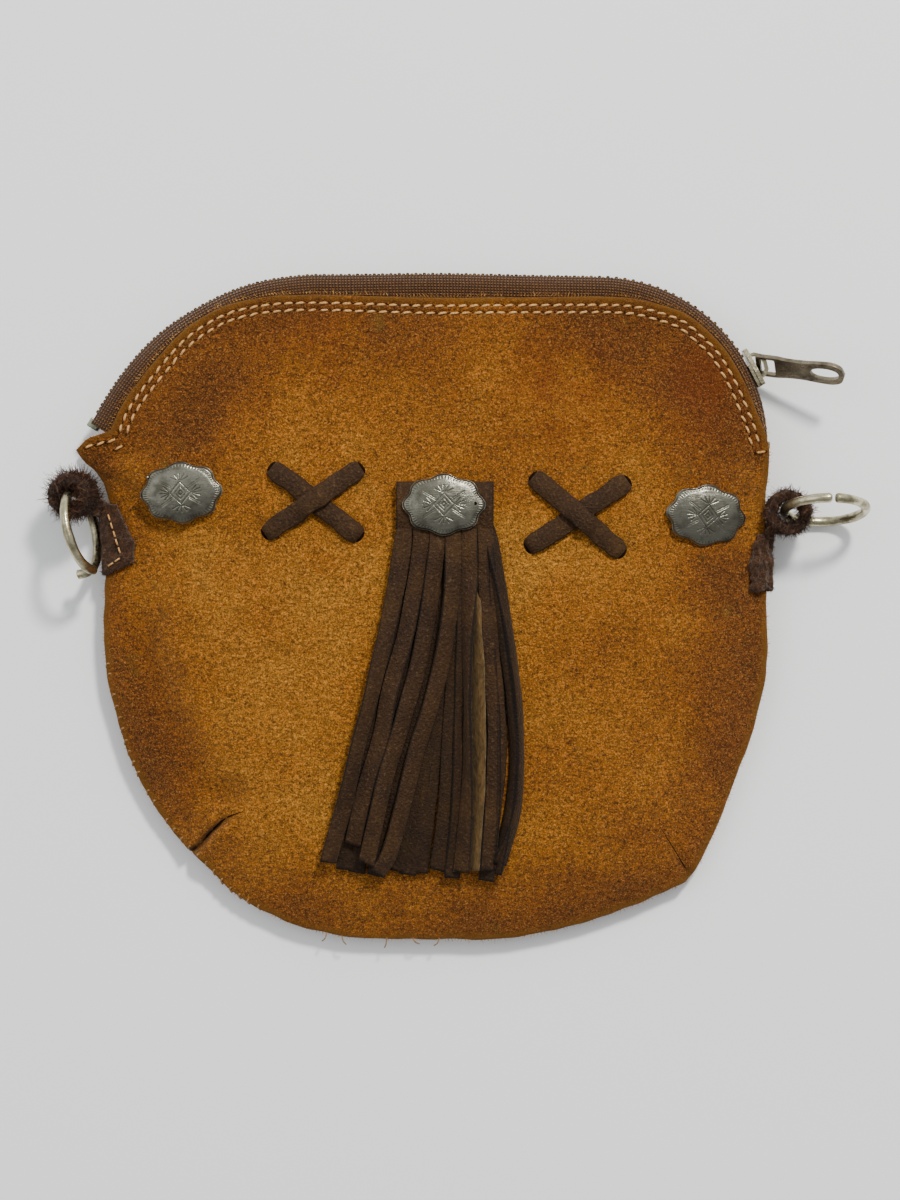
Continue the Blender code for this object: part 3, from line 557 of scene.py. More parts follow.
DART = [(-73.8, -77.0), (-69.6, -73.8), (-65.4, -69.0), (-60.9, -65.2), (-56.0, -63.2)]
TROUGH = [(-86.5, 6.0), (-84.5, -14.0), (-78.0, -34.0), (-70.0, -50.0), (-61.0, -60.0)]
DART_R = [(79.0, -84.5), (74.0, -76.0), (69.0, -68.0)]
SLITS = [(-48.5, 19.9), (-21.0, 39.0), (-46.5, 39.2), (-21.3, 19.2), (31.2, 36.3), (56.8, 14.2), (29.7, 15.7), (58.3, 35.1)]
CONCHOS = {"left": (-73.7, 32.0, 4.0), "center": (4.2, 28.2, 0.0), "right": (82.1, 25.4, -7.0)}


def hills(x, y):
    """Folds, dents and soft unevenness of the front, in mm, and how much painted shade each dent gets."""
    share, reach, ye = polar(x, y)
    inner = sstep((1 - share) / 0.10)
    h = 1.1 * perlin(x, y, 1 / 46, 3.1) * inner + 0.55 * perlin(x, y, 1 / 17, 8.4) * inner + 0.10 * perlin(x, y, 1 / 5.5, 1.7)
    dent_shade = np.zeros(np.shape(x))
    d, s, u = seg_dist(x, y, DART)
    fade = sstep((1 - u) / 0.5) * (1 - 0.25 * u)
    h += fade * np.where(s > 0, 1.5 * np.exp(-(d / 4.5) ** 2) - 2.4 * np.exp(-(d / 0.75) ** 2), -2.4 * np.exp(-(d / 0.9) ** 2) + 1.5 * np.exp(-((d - 3.4) / 2.6) ** 2))
    dent_shade += fade * np.exp(-(d / 0.75) ** 2) * 1.6
    d, s, u = seg_dist(x, y, TROUGH)
    fade = np.sin(np.pi * np.clip(u, 0.02, 0.98)) ** 0.6
    h += fade * (-1.5 * np.exp(-(d / 5.0) ** 2) + 0.5 * np.exp(-((d - 9) / 5) ** 2))
    dent_shade += fade * 0.16 * np.exp(-(d / 4.0) ** 2)
    d = np.hypot((x + 60.5) / 6.0, (y + 57.5) / 4.5)
    h += -1.5 * np.exp(-d ** 2)
    dent_shade += 0.20 * np.exp(-d ** 2)
    d = np.hypot((x + 52) / 8, (y + 70) / 8)
    h += 1.2 * np.exp(-d ** 2)
    d, s, u = seg_dist(x, y, DART_R)
    fade = sstep(1 - u)
    h += fade * (-0.9 * np.exp(-(d / 1.3) ** 2) + 0.4 * np.exp(-((d - 3.2) / 2.4) ** 2))
    dent_shade += fade * 0.45 * np.exp(-(d / 1.2) ** 2)
    for sx, sy in SLITS:
        d = np.hypot(x - sx, y - sy)
        h += -0.55 * np.exp(-(d / 3.6) ** 2)
        dent_shade += 0.30 * np.exp(-(d / 2.4) ** 2)
    for cx, cy, _ in CONCHOS.values():
        d = np.hypot((x - cx) / 12.5, (y - cy) / 9.5)
        h += -0.45 * np.exp(-(d / 1.05) ** 4)
    # The tug of the left ring's strap wrinkles the corner above it.
    for line, depth, wide in ((((-99, 41), (-88, 44), (-74, 46)), 0.8, 2.6), (((-97, 36), (-88, 37), (-80, 36)), 0.6, 2.2),
                              (((97, 40), (88, 42), (78, 45)), 0.5, 2.6)):
        d, s, u = seg_dist(x, y, line)
        h += -depth * np.exp(-(d / wide) ** 2) * sstep(1 - u)
    return h, np.clip(dent_shade, 0, 1)


def row_offset_band(x, y):
    """Distance inwards from the zip side of the edge."""
    return seg_dist(x, y, TOP_LINE)[0]


TOP_IDX = list(range(36, 58))
TOP_LINE = resample(catmull([EDGE[k] for k in TOP_IDX], 8), step=1.5)


def face_z(x, y, detail=False):
    x, y = np.asarray(x, float), np.asarray(y, float)
    share, reach, ye = polar(x, y)
    low = front_under(ye) + SUEDE_T
    z = low + (CROWN_Z - low) * (1 - share ** CROWN_POWER)
    if detail:
        h, dent_shade = hills(x, y)
        return z + h, dent_shade
    return z




def shell(name, step, shares_out, shares_in, top, under, mat, replaces, stitch_rows=True):
    """A panel as one closed body; top(x, y) and under(x, y) give its two faces."""
    dense = smooth_edge(0.4)
    keep, last = [], 1e9
    for q in dense:
        near_dart = q[0] < -50 and q[1] < -52
        last += 0.4
        if last >= (0.55 if near_dart and name == "suede_front" else step) - 1e-6:
            keep.append(q)
            last = 0.0
    edge = np.array(keep)
    n = len(edge)
    cx, cy = CENTRE
    # A cut suede edge isn't a clean line.
    wob = perlin(edge[:, 0], edge[:, 1], 0.20, 4.2) * 0.34 + perlin(edge[:, 0], edge[:, 1], 0.06, 9.2) * 0.30
    out_dir = edge - np.array([cx, cy])
    out_dir /= np.linalg.norm(out_dir, axis=1)[:, None]
    edge = edge + out_dir * (wob * (1 - 0.5 * sstep((edge[:, 1] - 42) / 8)) - 0.55 * sstep((edge[:, 1] - 46) / 8))[:, None]
    points, rim = [], []
    for share in shares_out:
        x, y = cx + (edge[:, 0] - cx) * share, cy + (edge[:, 1] - cy) * share
        points.append(np.stack([x, y, top(x, y)], 1))
        rim.append(np.full(n, max(0.0, 1 - (1 - share) * 26)))
    zt, zu = points[-1][:, 2], under(edge[:, 0], edge[:, 1])
    zip_side = sstep((edge[:, 1] - 42) / 8)[:, None]
    for f, bulge in ((0.2, 0.22), (0.5, 0.34), (0.8, 0.22)):
        p = edge + out_dir * bulge * (1 - 0.8 * zip_side)
        points.append(np.stack([p[:, 0], p[:, 1], zt + (zu - zt) * f], 1))
        rim.append(np.full(n, 1.0))
    for share in shares_in:
        x, y = cx + (edge[:, 0] - cx) * share, cy + (edge[:, 1] - cy) * share
        points.append(np.stack([x, y, under(x, y)], 1))
        rim.append(np.full(n, max(0.0, 1 - (1 - share) * 26)))
    rows = len(points)
    hub_top = np.array([[cx, cy, float(top(np.array([cx]), np.array([cy]))[0])]])
    hub_low = np.array([[cx, cy, float(under(np.array([cx]), np.array([cy]))[0])]])
    pts = np.concatenate(points + [hub_top, hub_low])
    rimv = np.concatenate(rim + [[0.0, 0.0]])
    faces = []
    for r in range(rows - 1):
        for i in range(n):
            j = (i + 1) % n
            faces.append((r * n + i, (r + 1) * n + i, (r + 1) * n + j, r * n + j))
    a, b = len(pts) - 2, len(pts) - 1
    faces += [(a, i, (i + 1) % n) for i in range(n)]
    last = (rows - 1) * n
    faces += [(b, last + (i + 1) % n, last + i) for i in range(n)]
    dent_shade = np.zeros(len(pts))
    if name == "suede_front":
        dent_shade = hills(pts[:, 0], pts[:, 1])[1]
    # Darker towards the edge and across the top: partly handling dirt, partly painted shade where the dome falls away
    # from the light.
    share, reach, ye = polar(pts[:, 0], pts[:, 1])
    px_, py_ = pts[:, 0], pts[:, 1]
    dirt_and_shade = 0.20 + 0.46 * sstep((share - 0.66) / 0.33) + 0.26 * sstep((py_ - 20) / 46) + 0.16 * sstep((px_ - 10) / 80) + 0.10 * sstep((-py_ - 62) / 40)
    dirt_and_shade = dirt_and_shade + 0.30 * perlin(px_, py_, 1 / 40, 14.0) + 0.14 * perlin(px_, py_, 1 / 15, 24.0) - 0.20 * np.exp(-((px_ + 66) / 12) ** 2 - ((py_ + 60) / 16) ** 2)
    for x, y, rx, ry, more in ((-71, 50, 14, 13, 0.36), (-79, -42, 14, 20, 0.40), (99, 30, 7, 15, -0.34), (-60, 62, 16, 10, 0.14), (-90, 37, 7, 13, -0.34), (-88, 4, 8, 14, -0.16)):
        dirt_and_shade = dirt_and_shade + more * np.exp(-((px_ - x) / rx) ** 2 - ((py_ - y) / ry) ** 2)
    mesh = make_mesh(name, pts, faces, {"rim": rimv, "dent_shade": dent_shade, "dirt_and_shade": np.clip(dirt_and_shade, 0, 1.1)})
    bm = bmesh.new()
    bm.from_mesh(mesh)
    bmesh.ops.recalc_face_normals(bm, faces=bm.faces)
    bm.to_mesh(mesh)
    bm.free()
    obj = add_object(name, mesh, mat, BAG)
    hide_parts(replaces)
    return obj


def front_top(x, y):
    z, _ = face_z(x, y, True)
    d = row_offset_band(x, y)
    # Both rows of stitches sink into the nap, and the strip between puffs up.
    z = z - 0.40 * np.exp(-((d - 2.7) / 0.55) ** 2) - 0.40 * np.exp(-((d - 4.8) / 0.55) ** 2) + 0.16 * np.exp(-((d - 3.75) / 0.5) ** 2)
    z = z - 0.25 * np.exp(-(d / 0.8) ** 2)
    return z


def front_low(x, y):
    z, _ = face_z(x, y, True)
    return z - SUEDE_T


def back_low(x, y):
    share, reach, ye = polar(x, y)
    turn = np.clip((share - 0.8) / 0.2, 0, 1)
    base = back_under(ye) * turn ** 1.6
    wob = 0.22 * (0.5 + perlin(x, y, 1 / 30, 5.0)) * np.clip(turn * 4, 0, 1)
    return np.maximum(0.0, base + wob)


def back_top(x, y):
    return back_low(x, y) + SUEDE_T




shares_front = np.concatenate([np.linspace(0.03, 0.60, 26), np.linspace(0.61, 0.93, 44), np.linspace(0.936, 1.0, 16)])
print("front shell")
front = shell("suede_front", 1.5, shares_front, np.linspace(1.0, 0.05, 12), front_top, front_low, M_SUEDE, "front_panel")
back = shell("suede_back", 2.4, np.linspace(1.0, 0.05, 12)[::-1], np.concatenate([np.linspace(1.0, 0.78, 14), np.linspace(0.75, 0.05, 14)]), back_top, back_low, M_SUEDE_BACK, "back_panel")


# ------------------------------------------------------------------ frames on the face
def on_face(x, y):
    """Height and unit normal of the detailed front at x, y."""
    x, y = np.atleast_1d(np.asarray(x, float)), np.atleast_1d(np.asarray(y, float))
    z = front_top(x, y)
    e = 0.6
    gx = (front_top(x + e, y) - front_top(x - e, y)) / (2 * e)
    gy = (front_top(x, y + e) - front_top(x, y - e)) / (2 * e)
    nrm = np.stack([-gx, -gy, np.ones(len(x))], 1)
    return z, nrm / np.linalg.norm(nrm, axis=1)[:, None]


STITCH_POINTS = resample(TOP_LINE, step=0.5)
mid_in = np.array([0.0, 10.0])


def inset(line, dist):
    """A line moved inwards (towards the panel's middle) by dist."""
    t = np.gradient(line, axis=0)
    t /= np.linalg.norm(t, axis=1)[:, None]
    nrm = np.stack([-t[:, 1], t[:, 0]], 1)
    flip = np.sign(np.sum(nrm * (mid_in - line), axis=1))
    return line + nrm * flip[:, None] * dist


def stitches(name, rows, mat, length=2.35, pitch=3.5, radius=0.34, slant=0.2, lift=0.10):
    """Rows of thread stitches with needle holes between, as two meshes."""
    pile, holes = Pile(), Pile()
    for row in rows:
        row = resample(row, step=0.25)
        seg = np.linalg.norm(np.diff(row, axis=0), axis=1)
        s = np.concatenate([[0], np.cumsum(seg)])
        at = 1.2
        while at + length < s[-1]:
            ln = length * rng.uniform(0.92, 1.08)
            want = np.linspace(at, at + ln, 7)
            px, py = np.interp(want, s, row[:, 0]), np.interp(want, s, row[:, 1])
            d = np.array([px[-1] - px[0], py[-1] - py[0]])
            d /= np.linalg.norm(d)
            nx, ny = -d[1], d[0]
            lean = rng.normal(slant, 0.07)
            k = np.linspace(-1, 1, 7)
            px, py = px + nx * lean * k, py + ny * lean * k
            z, _ = on_face(px, py)
            hump = np.array([-0.30, 0.12, 0.30, 0.36, 0.30, 0.12, -0.30]) + lift
            rad = radius * np.array([0.62, 0.95, 1.05, 1.08, 1.05, 0.95, 0.62])
            p, f = tube_points(np.stack([px, py, z.max() * 0.4 + z * 0.6 + hump], 1), rad, 7, flat=0.8)
            pile.add(p, f)
            # A dark pit at each end of the stitch: the needle hole, filled with painted shadow.
            for e in (0, -1):
                hx, hy = px[e] - d[0] * 0.28 * (1 if e == 0 else -1), py[e] - d[1] * 0.28 * (1 if e == 0 else -1)
                hz, hn = on_face([hx], [hy])
                ring = []
                for rr, dz in ((0.52, 0.03), (0.30, 0.05), (0.30, -0.25), (0.52, -0.25)):
                    for q in range(8):
                        a = q * math.pi / 4
                        ring.append((hx + rr * math.cos(a), hy + rr * 0.8 * math.sin(a), hz[0] + dz))
                faces = [(r * 8 + q, r * 8 + (q + 1) % 8, (r + 1) * 8 + (q + 1) % 8, (r + 1) * 8 + q) for r in range(3) for q in range(8)]
                faces += [(24 + q, 24 + (q + 1) % 8, (q + 1) % 8, q) for q in range(8)]
                holes.add(ring, faces)
            at += pitch * rng.uniform(0.96, 1.04)
    obj = add_object(name, pile.mesh(name), mat)
    add_object(name + "_holes", holes.mesh(name + "_holes"), M_PAINTED_SHADOW)
    return obj


print("stitches")
top_len = len(STITCH_POINTS)
row_a, row_b = inset(STITCH_POINTS, 3.0), inset(STITCH_POINTS, 5.15)
row_a = row_a[(row_a[:, 1] > np.where(row_a[:, 0] > 0, 45.6, 48.4))]
row_b = row_b[(row_b[:, 1] > np.where(row_b[:, 0] > 0, 44.6, 47.6))]
end_runs = [np.array([(-92.4, 48.0), (-103.4, 45.4)]), np.array([(-90.4, 46.0), (-95.4, 44.6)]),
            np.array([(96.4, 44.2), (101.2, 44.0)])]
stitches("zip_stitching", [row_a, row_b] + end_runs, M_THREAD)

# The sewn side and bottom edge: small loops of thread over the rim, as far as they show.
low_line = catmull([EDGE[k] for k in range(3, 36)], 8)
low_line = resample(low_line, step=0.4)
pile = Pile()
s = np.concatenate([[0], np.cumsum(np.linalg.norm(np.diff(low_line, axis=0), axis=1))])
at = 3.0
while at < s[-1] - 3:
    x, y = np.interp(at, s, low_line[:, 0]), np.interp(at, s, low_line[:, 1])
    x2, y2 = np.interp(at + 1.0, s, low_line[:, 0]), np.interp(at + 1.0, s, low_line[:, 1])
    out = np.array([x - CENTRE[0], y - CENTRE[1]])
    out /= np.linalg.norm(out)
    sz = float(seam_z(y))
    zt = float(front_top(np.array([x - out[0] * 0.9]), np.array([y - out[1] * 0.9]))[0])
    loop = [(x - out[0] * 0.9, y - out[1] * 0.9, zt - 0.1),
            (x - out[0] * 0.1, y - out[1] * 0.1, zt - 0.1),
            (x2 + out[0] * 0.45, y2 + out[1] * 0.45, sz + 0.7),
            (x2 + out[0] * 0.35, y2 + out[1] * 0.35, sz - 0.6)]
    if x < -50 and y < -16 and rng.random() < 0.8:
        p, f = tube_points(catmull(loop, 4), 0.24, 6)
        pile.add(p, f)
    at += rng.uniform(3.0, 3.8)
for px, py, dx, dy in ((-30.9, -100.6, -1.6, -2.2), (-26.7, -101.3, 1.4, -2.6), (-12.9, -102.0, -0.8, -2.8), (-5.4, -102.1, 2.2, -1.6), (3.0, -102.2, -1.8, -2.0)):
    z0 = 6.1
    p, f = tube_points(catmull([(px, py + 1.0, z0), (px + dx * 0.4, py + dy * 0.5, z0 + 0.3), (px + dx, py + dy, z0 - 1.2)], 6), 0.20, 5)
    pile.add(p, f)
add_object("seam_thread", pile.mesh("seam_thread"), M_THREAD_DIM)


# A dark sliver sunk along each dart: painted shadow in the crease.
crease = Pile()
for line_, wide in ((DART[:], 0.42), (DART_R[:], 0.22)):
    path_ = catmull(line_, 8)
    path_ = path_[polar(path_[:, 0], path_[:, 1])[0] < 0.985]
    zc = front_top(path_[:, 0], path_[:, 1])
    taper = wide * (1 - 0.8 * np.linspace(0, 1, len(path_)))
    p, f = tube_points(np.column_stack([path_, zc + 0.12]), taper, 8, flat=0.6)
    crease.add(p, f)
add_object("dart_crease_shadows", crease.mesh("dart_crease_shadows"), M_PAINTED_SHADOW)


# ------------------------------------------------------------------ fibres of nap standing off cut edges
def fuzz(name, spots, mat, length, body=BAG, radius=0.045):
    """Short curved hairs; spots are (point, direction) pairs in mm."""
    pile = Pile()
    for point, direction in spots:
        d = np.asarray(direction, float)
        d = d / (np.linalg.norm(d) + 1e-9) + rng.normal(0, 0.55, 3)
        d /= np.linalg.norm(d)
        ln = length * rng.uniform(0.35, 1.15)
        bend = rng.normal(0, 0.35, 3)
        p0 = np.asarray(point, float) - d * 0.25
        path = [p0, p0 + d * ln * 0.5 + bend * ln * 0.12, p0 + d * ln + bend * ln * 0.5]
        p, f = tube_points(path, [radius, radius * 0.8, radius * 0.35], 3)
        p[:, 2] = np.maximum(p[:, 2], 0.15)
        pile.add(p, f, pick=float(rng.random()))
    return add_object(name, pile.mesh(name), mat, body, smooth=False)


def edge_spots(line, z_of, count, spread=0.5):
    spots = []
    for _ in range(count):
        k = rng.integers(0, len(line))
        x, y = line[k]
        out = np.array([x - CENTRE[0], y - CENTRE[1], 0.0])
        out /= np.linalg.norm(out)
        spots.append(((x + out[0] * 0.1, y + out[1] * 0.1, z_of(x, y) + rng.uniform(-spread, spread)), out + (0, 0, rng.uniform(-0.2, 0.6))))
    return spots


fuzz("rim_fibres", edge_spots(FINE, lambda x, y: float(front_under(y)) + 0.9, 2600, 0.65), M_FUZZ_TAN, 1.25)
SPOTS = []
for _ in range(2200):
    a, rr = rng.uniform(0, 2 * math.pi), math.sqrt(rng.uniform(0.02, 0.96))
    reach = np.interp(a, TA, TR)
    x, y = CENTRE[0] + reach * rr * math.cos(a), CENTRE[1] + reach * rr * math.sin(a)
    SPOTS.append((x, y))
xs, ys = np.array(SPOTS).T
zs, ns = on_face(xs, ys)
fuzz("face_fibres", [((x, y, z), (n[0] + rng.normal(0, 1.3), n[1] + rng.normal(0, 1.3), 0.35)) for x, y, z, n in zip(xs, ys, zs, ns)], M_FUZZ_TAN, 0.9, radius=0.04)

# ------------------------------------------------------------------ the zip
CHAIN_RUN = [(-101.4, 51.7), (-91.8, 66.7), (-81.2, 78.4), (-68.3, 87.2), (-54.2, 93.4), (-39.2, 96.1), (-24.3, 96.4), (3.3, 96.7), (31.8, 96.1)]
ARC_C, ARC_R = (50.7, 46.2), 49.6
SLIDER_DEG = 27.0
arc = [(ARC_C[0] + ARC_R * math.cos(math.radians(d)), ARC_C[1] + ARC_R * math.sin(math.radians(d))) for d in np.arange(90, -2.5, -2.1)]
chain = resample(catmull(CHAIN_RUN + [(50.7, 95.8)], 10)[:-1].tolist() + arc, step=0.5)
ch_t = np.gradient(chain, axis=0)
ch_t /= np.linalg.norm(ch_t, axis=1)[:, None]
ch_in = np.stack([ch_t[:, 1], -ch_t[:, 0]], 1)          # the panel side of a clockwise run
ch_s = np.concatenate([[0], np.cumsum(np.linalg.norm(np.diff(chain, axis=0), axis=1))])
TAPE_T = 0.7
cut = (chain[:, 0] > 0) & (np.degrees(np.arctan2(chain[:, 1] - ARC_C[1], chain[:, 0] - ARC_C[0])) < SLIDER_DEG - 5)


def tape(name, sign, replaces):
    """One woven tape from under the suede to the teeth."""
    depth = np.array([-0.75, 0.2, 1.6, 3.0, 4.5, 6.0, 7.5, 9.0, 10.4, 11.4])
    pts, us, vs = [], [], []
    m = len(chain)
    idx = np.arange(2, m - 2, 2)
    for face in (0, 1):
        for d in depth:
            x = chain[idx, 0] + ch_in[idx, 0] * d
            y = chain[idx, 1] + ch_in[idx, 1] * d
            rise = np.interp(d, [0, 0.001, 1.6, 7.0, 11.5], [2.75, 4.0, 5.2, 5.2, 5.2])
            rise = np.interp(d, [-0.75, 0.4, 1.8, 4.0, 11.5], [2.7, 3.6, 4.6, 5.0, 5.0])
            ye = y + 3
            limit = (front_under(ye) - 0.45 - CHAIN_Z) if sign > 0 else (CHAIN_Z - (back_under(ye) + SUEDE_T + 0.45) - TAPE_T * 0)
            mid = np.minimum(rise, np.maximum(1.9, limit - TAPE_T * 0.5))
            mid = mid + 0.10 * np.sin(idx * 0.21 + d) * np.clip(d / 3, 0, 1)
            z = CHAIN_Z + sign * (mid + (TAPE_T / 2 if face == 0 else -TAPE_T / 2))
            pts.append(np.stack([x, y, z], 1))
            us.append(ch_s[idx])
            vs.append(np.full(len(idx), d))
    n = len(idx)
    rows = len(depth)
    faces = []
    order = list(range(rows)) + [rows + k for k in reversed(range(rows))]
    for a, b in zip(order, order[1:] + order[:1]):
        for i in range(n - 1):
            faces.append((a * n + i, a * n + i + 1, b * n + i + 1, b * n + i))
    faces.append(tuple(o * n for o in order))
    faces.append(tuple(o * n + n - 1 for o in reversed(order)))
    mesh = make_mesh(name, np.concatenate(pts), faces, {"along_mm": np.concatenate(us), "across_mm": np.concatenate(vs)})
    bm = bmesh.new()
    bm.from_mesh(mesh)
    bmesh.ops.recalc_face_normals(bm, faces=bm.faces)
    bm.to_mesh(mesh)
    bm.free()
    obj = add_object(name, mesh, M_TAPE, BAG)
    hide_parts(replaces)
    return obj


tape("tape_front", 1, "zip_tape_front")
tape("tape_back", -1, "zip_tape_back")


def tooth_block(c, t, inn, up, size, bevel=0.28):
    """A bevelled metal block; size (along, across, tall), axes t, inn, up."""
    a, b, h = (v / 2 for v in size)
    e = bevel
    pts = []
    for sx in (-1, 1):
        for sy in (-1, 1):
            for sz in (-1, 1):
                for dx, dy, dz in ((e, 0, 0), (0, e, 0), (0, 0, e)):
                    pts.append(c + t * sx * (a - (0 if dx else e)) + inn * sy * (b - (0 if dy else e)) + up * sz * (h - (0 if dz else e)))
    return np.array(pts)




def hull_faces(pts):
    bm = bmesh.new()
    vs = [bm.verts.new(p) for p in pts]
    bmesh.ops.convex_hull(bm, input=vs)
    bm.verts.index_update()
    faces = [tuple(v.index for v in f.verts) for f in bm.faces]
    bm.free()
    return faces


BLOCK_FACES = None
up3 = np.array([0, 0, 1.0])


def teeth(name, sign, phase, replaces):
    global BLOCK_FACES
    pile = Pile()
    at = 5.0 + phase
    while at < ch_s[-1] - 3:
        x, y = np.interp(at, ch_s, chain[:, 0]), np.interp(at, ch_s, chain[:, 1])
        ang_here = math.degrees(math.atan2(y - ARC_C[1], x - ARC_C[0]))
        open_run = x > 60 and ang_here < SLIDER_DEG + 5
        k = min(len(chain) - 1, int(at / 0.5))
        t = np.array([ch_t[k, 0], ch_t[k, 1], 0])
        inn = np.array([ch_in[k, 0], ch_in[k, 1], 0])
        if open_run:
            # Past the slider the rows part, and each lies against its own tape.
            if ang_here > SLIDER_DEG - 5.5:
                at += 1.25 * 2
                continue
            c = np.array([x, y, CHAIN_Z]) + up3 * sign * 1.35
            pts = tooth_block(c, t, inn, up3, (1.15, 1.9, 2.0), 0.22)
        else:
            # On the round corner the rows leave the narrow slit that the slider's post runs in.
            parted = sstep((94 - ang_here) / 6) if x > 49 else 0.0
            low_z, high_z = -1.08 + 1.48 * parted, 2.32
            c = np.array([x, y, CHAIN_Z]) - inn * 0.35 + up3 * sign * (low_z + high_z) / 2
            pts = tooth_block(c, t, inn, up3, (1.05, 2.1, high_z - low_z), 0.26)
        if BLOCK_FACES is None:
            BLOCK_FACES = hull_faces(pts)
        faces = BLOCK_FACES
        pile.add(pts, faces)
        at += 1.25 * 2
    # The cord that the teeth are clamped on.
    idx = np.arange(8, len(chain) - 6, 3)
    p, f = tube_points(np.stack([chain[idx, 0] + ch_in[idx, 0] * 0.3, chain[idx, 1] + ch_in[idx, 1] * 0.3, np.full(len(idx), CHAIN_Z + sign * 2.35)], 1), 0.34, 6)
    pile.add(p, f)
    mesh = pile.mesh(name)
    bm = bmesh.new()
    bm.from_mesh(mesh)
    bmesh.ops.recalc_face_normals(bm, faces=bm.faces)
    bm.to_mesh(mesh)
    bm.free()
    obj = add_object(name, mesh, M_TEETH, BAG, smooth=False)
    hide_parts(replaces)


teeth("teeth_front", 1, 0.0, "zip_teeth_front")
teeth("teeth_back", -1, 1.25, "zip_teeth_back")

# Carried-over CAD pieces in their own finish.
print(sorted(NODES))


def refinish(node, mat):
    obj = NODES[node]
    for k in range(max(1, len(obj.material_slots))):
        if len(obj.material_slots) == 0:
            obj.data.materials.append(mat)
        else:
            obj.material_slots[k].material = mat


# ------------------------------------------------------------------ rings, as smooth wire
def ring_tube(name, centre, long, short, start, sweep, replaces, body, lift_end=0.0, tail=0.0):
    centre, long, short = (np.asarray(v, float) for v in (centre, long, short))
    long /= np.linalg.norm(long)
    short = short - long * short.dot(long)
    short /= np.linalg.norm(short)
    axis = np.cross(long, short)
    steps = 150
    a = np.radians(start + np.linspace(0, sweep, steps))
    R = 12.05
    drift = lift_end * (np.linspace(0, 1, steps) - 0.5)
    path = centre + R * (np.cos(a)[:, None] * long + np.sin(a)[:, None] * short) + drift[:, None] * axis
    if tail:
        # The cut end is bent out sideways, clear of the other end.
        last, ahead = path[-1], path[-1] - path[-2]
        ahead /= np.linalg.norm(ahead)
        q = np.radians(np.linspace(12, 90, 12))[:, None]
        bend = last + 1.9 * ((1 - np.cos(q)) * axis + np.sin(q) * ahead)
        straight = bend[-1] + np.linspace(0.4, tail, 8)[:, None] * axis
        path = np.concatenate([path, bend, straight])
        steps = len(path)
    wob = np.array([noise.noise(Vector((k * 0.13, 1.0, 2.0))) for k in range(steps)]) * 0.10
    rad = 1.42 + 0.05 * np.sin(np.linspace(0, 40, steps)) + wob * 0.5
    rad[0] -= 0.35
    rad[-1] -= 0.35
    p, f = tube_points(path, rad, 20)
    mesh = make_mesh(name, p, f)
    obj = add_object(name, mesh, M_RING, body)
    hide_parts(replaces)
    return obj


ring_tube("ring_right_wire", (117.9, 26.9, 13.3), (1, 0, 0), (0, 0.266, 0.964), 88.0, 355.5 - 1.0, "ring_right", "right_ring")
ring_tube("ring_left_wire", (-103.8, 20.4, 13.3), (0.225, -0.974, 0), (-0.2630, -0.0607, 0.9629), 4.0, 341.0, "ring_left", "left_ring", 2.6, 1.7)


# ------------------------------------------------------------------ pieces shaped from their CAD solid
def from_cad(node, name, mat, body, bevel=0.0, remesh=0.0, rough=0.0, smooth=False, relax=0):
    """A visual copy of a node's solid with eased edges, or remeshed into a soft form."""
    mesh = NODES[node].data.copy()
    mesh.name = name
    bm = bmesh.new()
    bm.from_mesh(mesh)
    bmesh.ops.remove_doubles(bm, verts=bm.verts, dist=2e-6)
    bmesh.ops.dissolve_limit(bm, angle_limit=math.radians(2.0), verts=bm.verts, edges=bm.edges)
    bm.to_mesh(mesh)
    bm.free()
    obj = bpy.data.objects.new(name, mesh)
    scene.collection.objects.link(obj)
    bpy.context.view_layer.objects.active = obj
    for o in bpy.context.selected_objects:
        o.select_set(False)
    obj.select_set(True)
    if remesh:
        m = obj.modifiers.new("soft", "REMESH")
        m.mode = "VOXEL"
        m.voxel_size = remesh * MM
        bpy.ops.object.modifier_apply(modifier=m.name)
        if relax:
            m = obj.modifiers.new("relax", "SMOOTH")
            m.factor = 0.5
            m.iterations = relax
            bpy.ops.object.modifier_apply(modifier=m.name)
    if bevel:
        m = obj.modifiers.new("ease", "BEVEL")
        m.width = bevel * MM
        m.segments = 2
        m.limit_method = "ANGLE"
        m.angle_limit = math.radians(28)
        m.use_clamp_overlap = True
        bpy.ops.object.modifier_apply(modifier=m.name)
    mesh = obj.data
    if rough:
        count = len(mesh.vertices)
        co = np.empty(count * 3, np.float32)
        nr = np.empty(count * 3, np.float32)
        mesh.vertices.foreach_get("co", co)
        mesh.vertices.foreach_get("normal", nr)
        co, nr = co.reshape(-1, 3), nr.reshape(-1, 3)
        amount = np.array([noise.noise(Vector(p) * 320) + 0.6 * noise.noise(Vector(p) * 900) for p in co.astype(float)])
        co += nr * (amount * rough * MM)[:, None]
        co[:, 2] = np.maximum(co[:, 2], 0.0003)
        mesh.vertices.foreach_set("co", co.ravel())
    mesh.materials.clear()
    mesh.materials.append(mat)
    mesh.polygons.foreach_set("use_smooth", [smooth] * len(mesh.polygons))
    mesh.update()
    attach(obj, body)
    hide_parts(node)
    return obj


from_cad("zip_slider", "slider_body", M_ZIP, "slider", bevel=0.22)


def plate(name, outline, thick):
    """A flat plate in its own x, y from an outline in mm."""
    n = len(outline)
    pts = [(x, y, thick / 2) for x, y in outline] + [(x, y, -thick / 2) for x, y in outline]
    faces = [tuple(range(n)), tuple(range(2 * n - 1, n - 1, -1))] + [(i, n + i, n + (i + 1) % n, (i + 1) % n) for i in range(n)]
    mesh = fix_normals(make_mesh(name, pts, faces))
    obj = bpy.data.objects.new(name, mesh)
    scene.collection.objects.link(obj)
    return obj


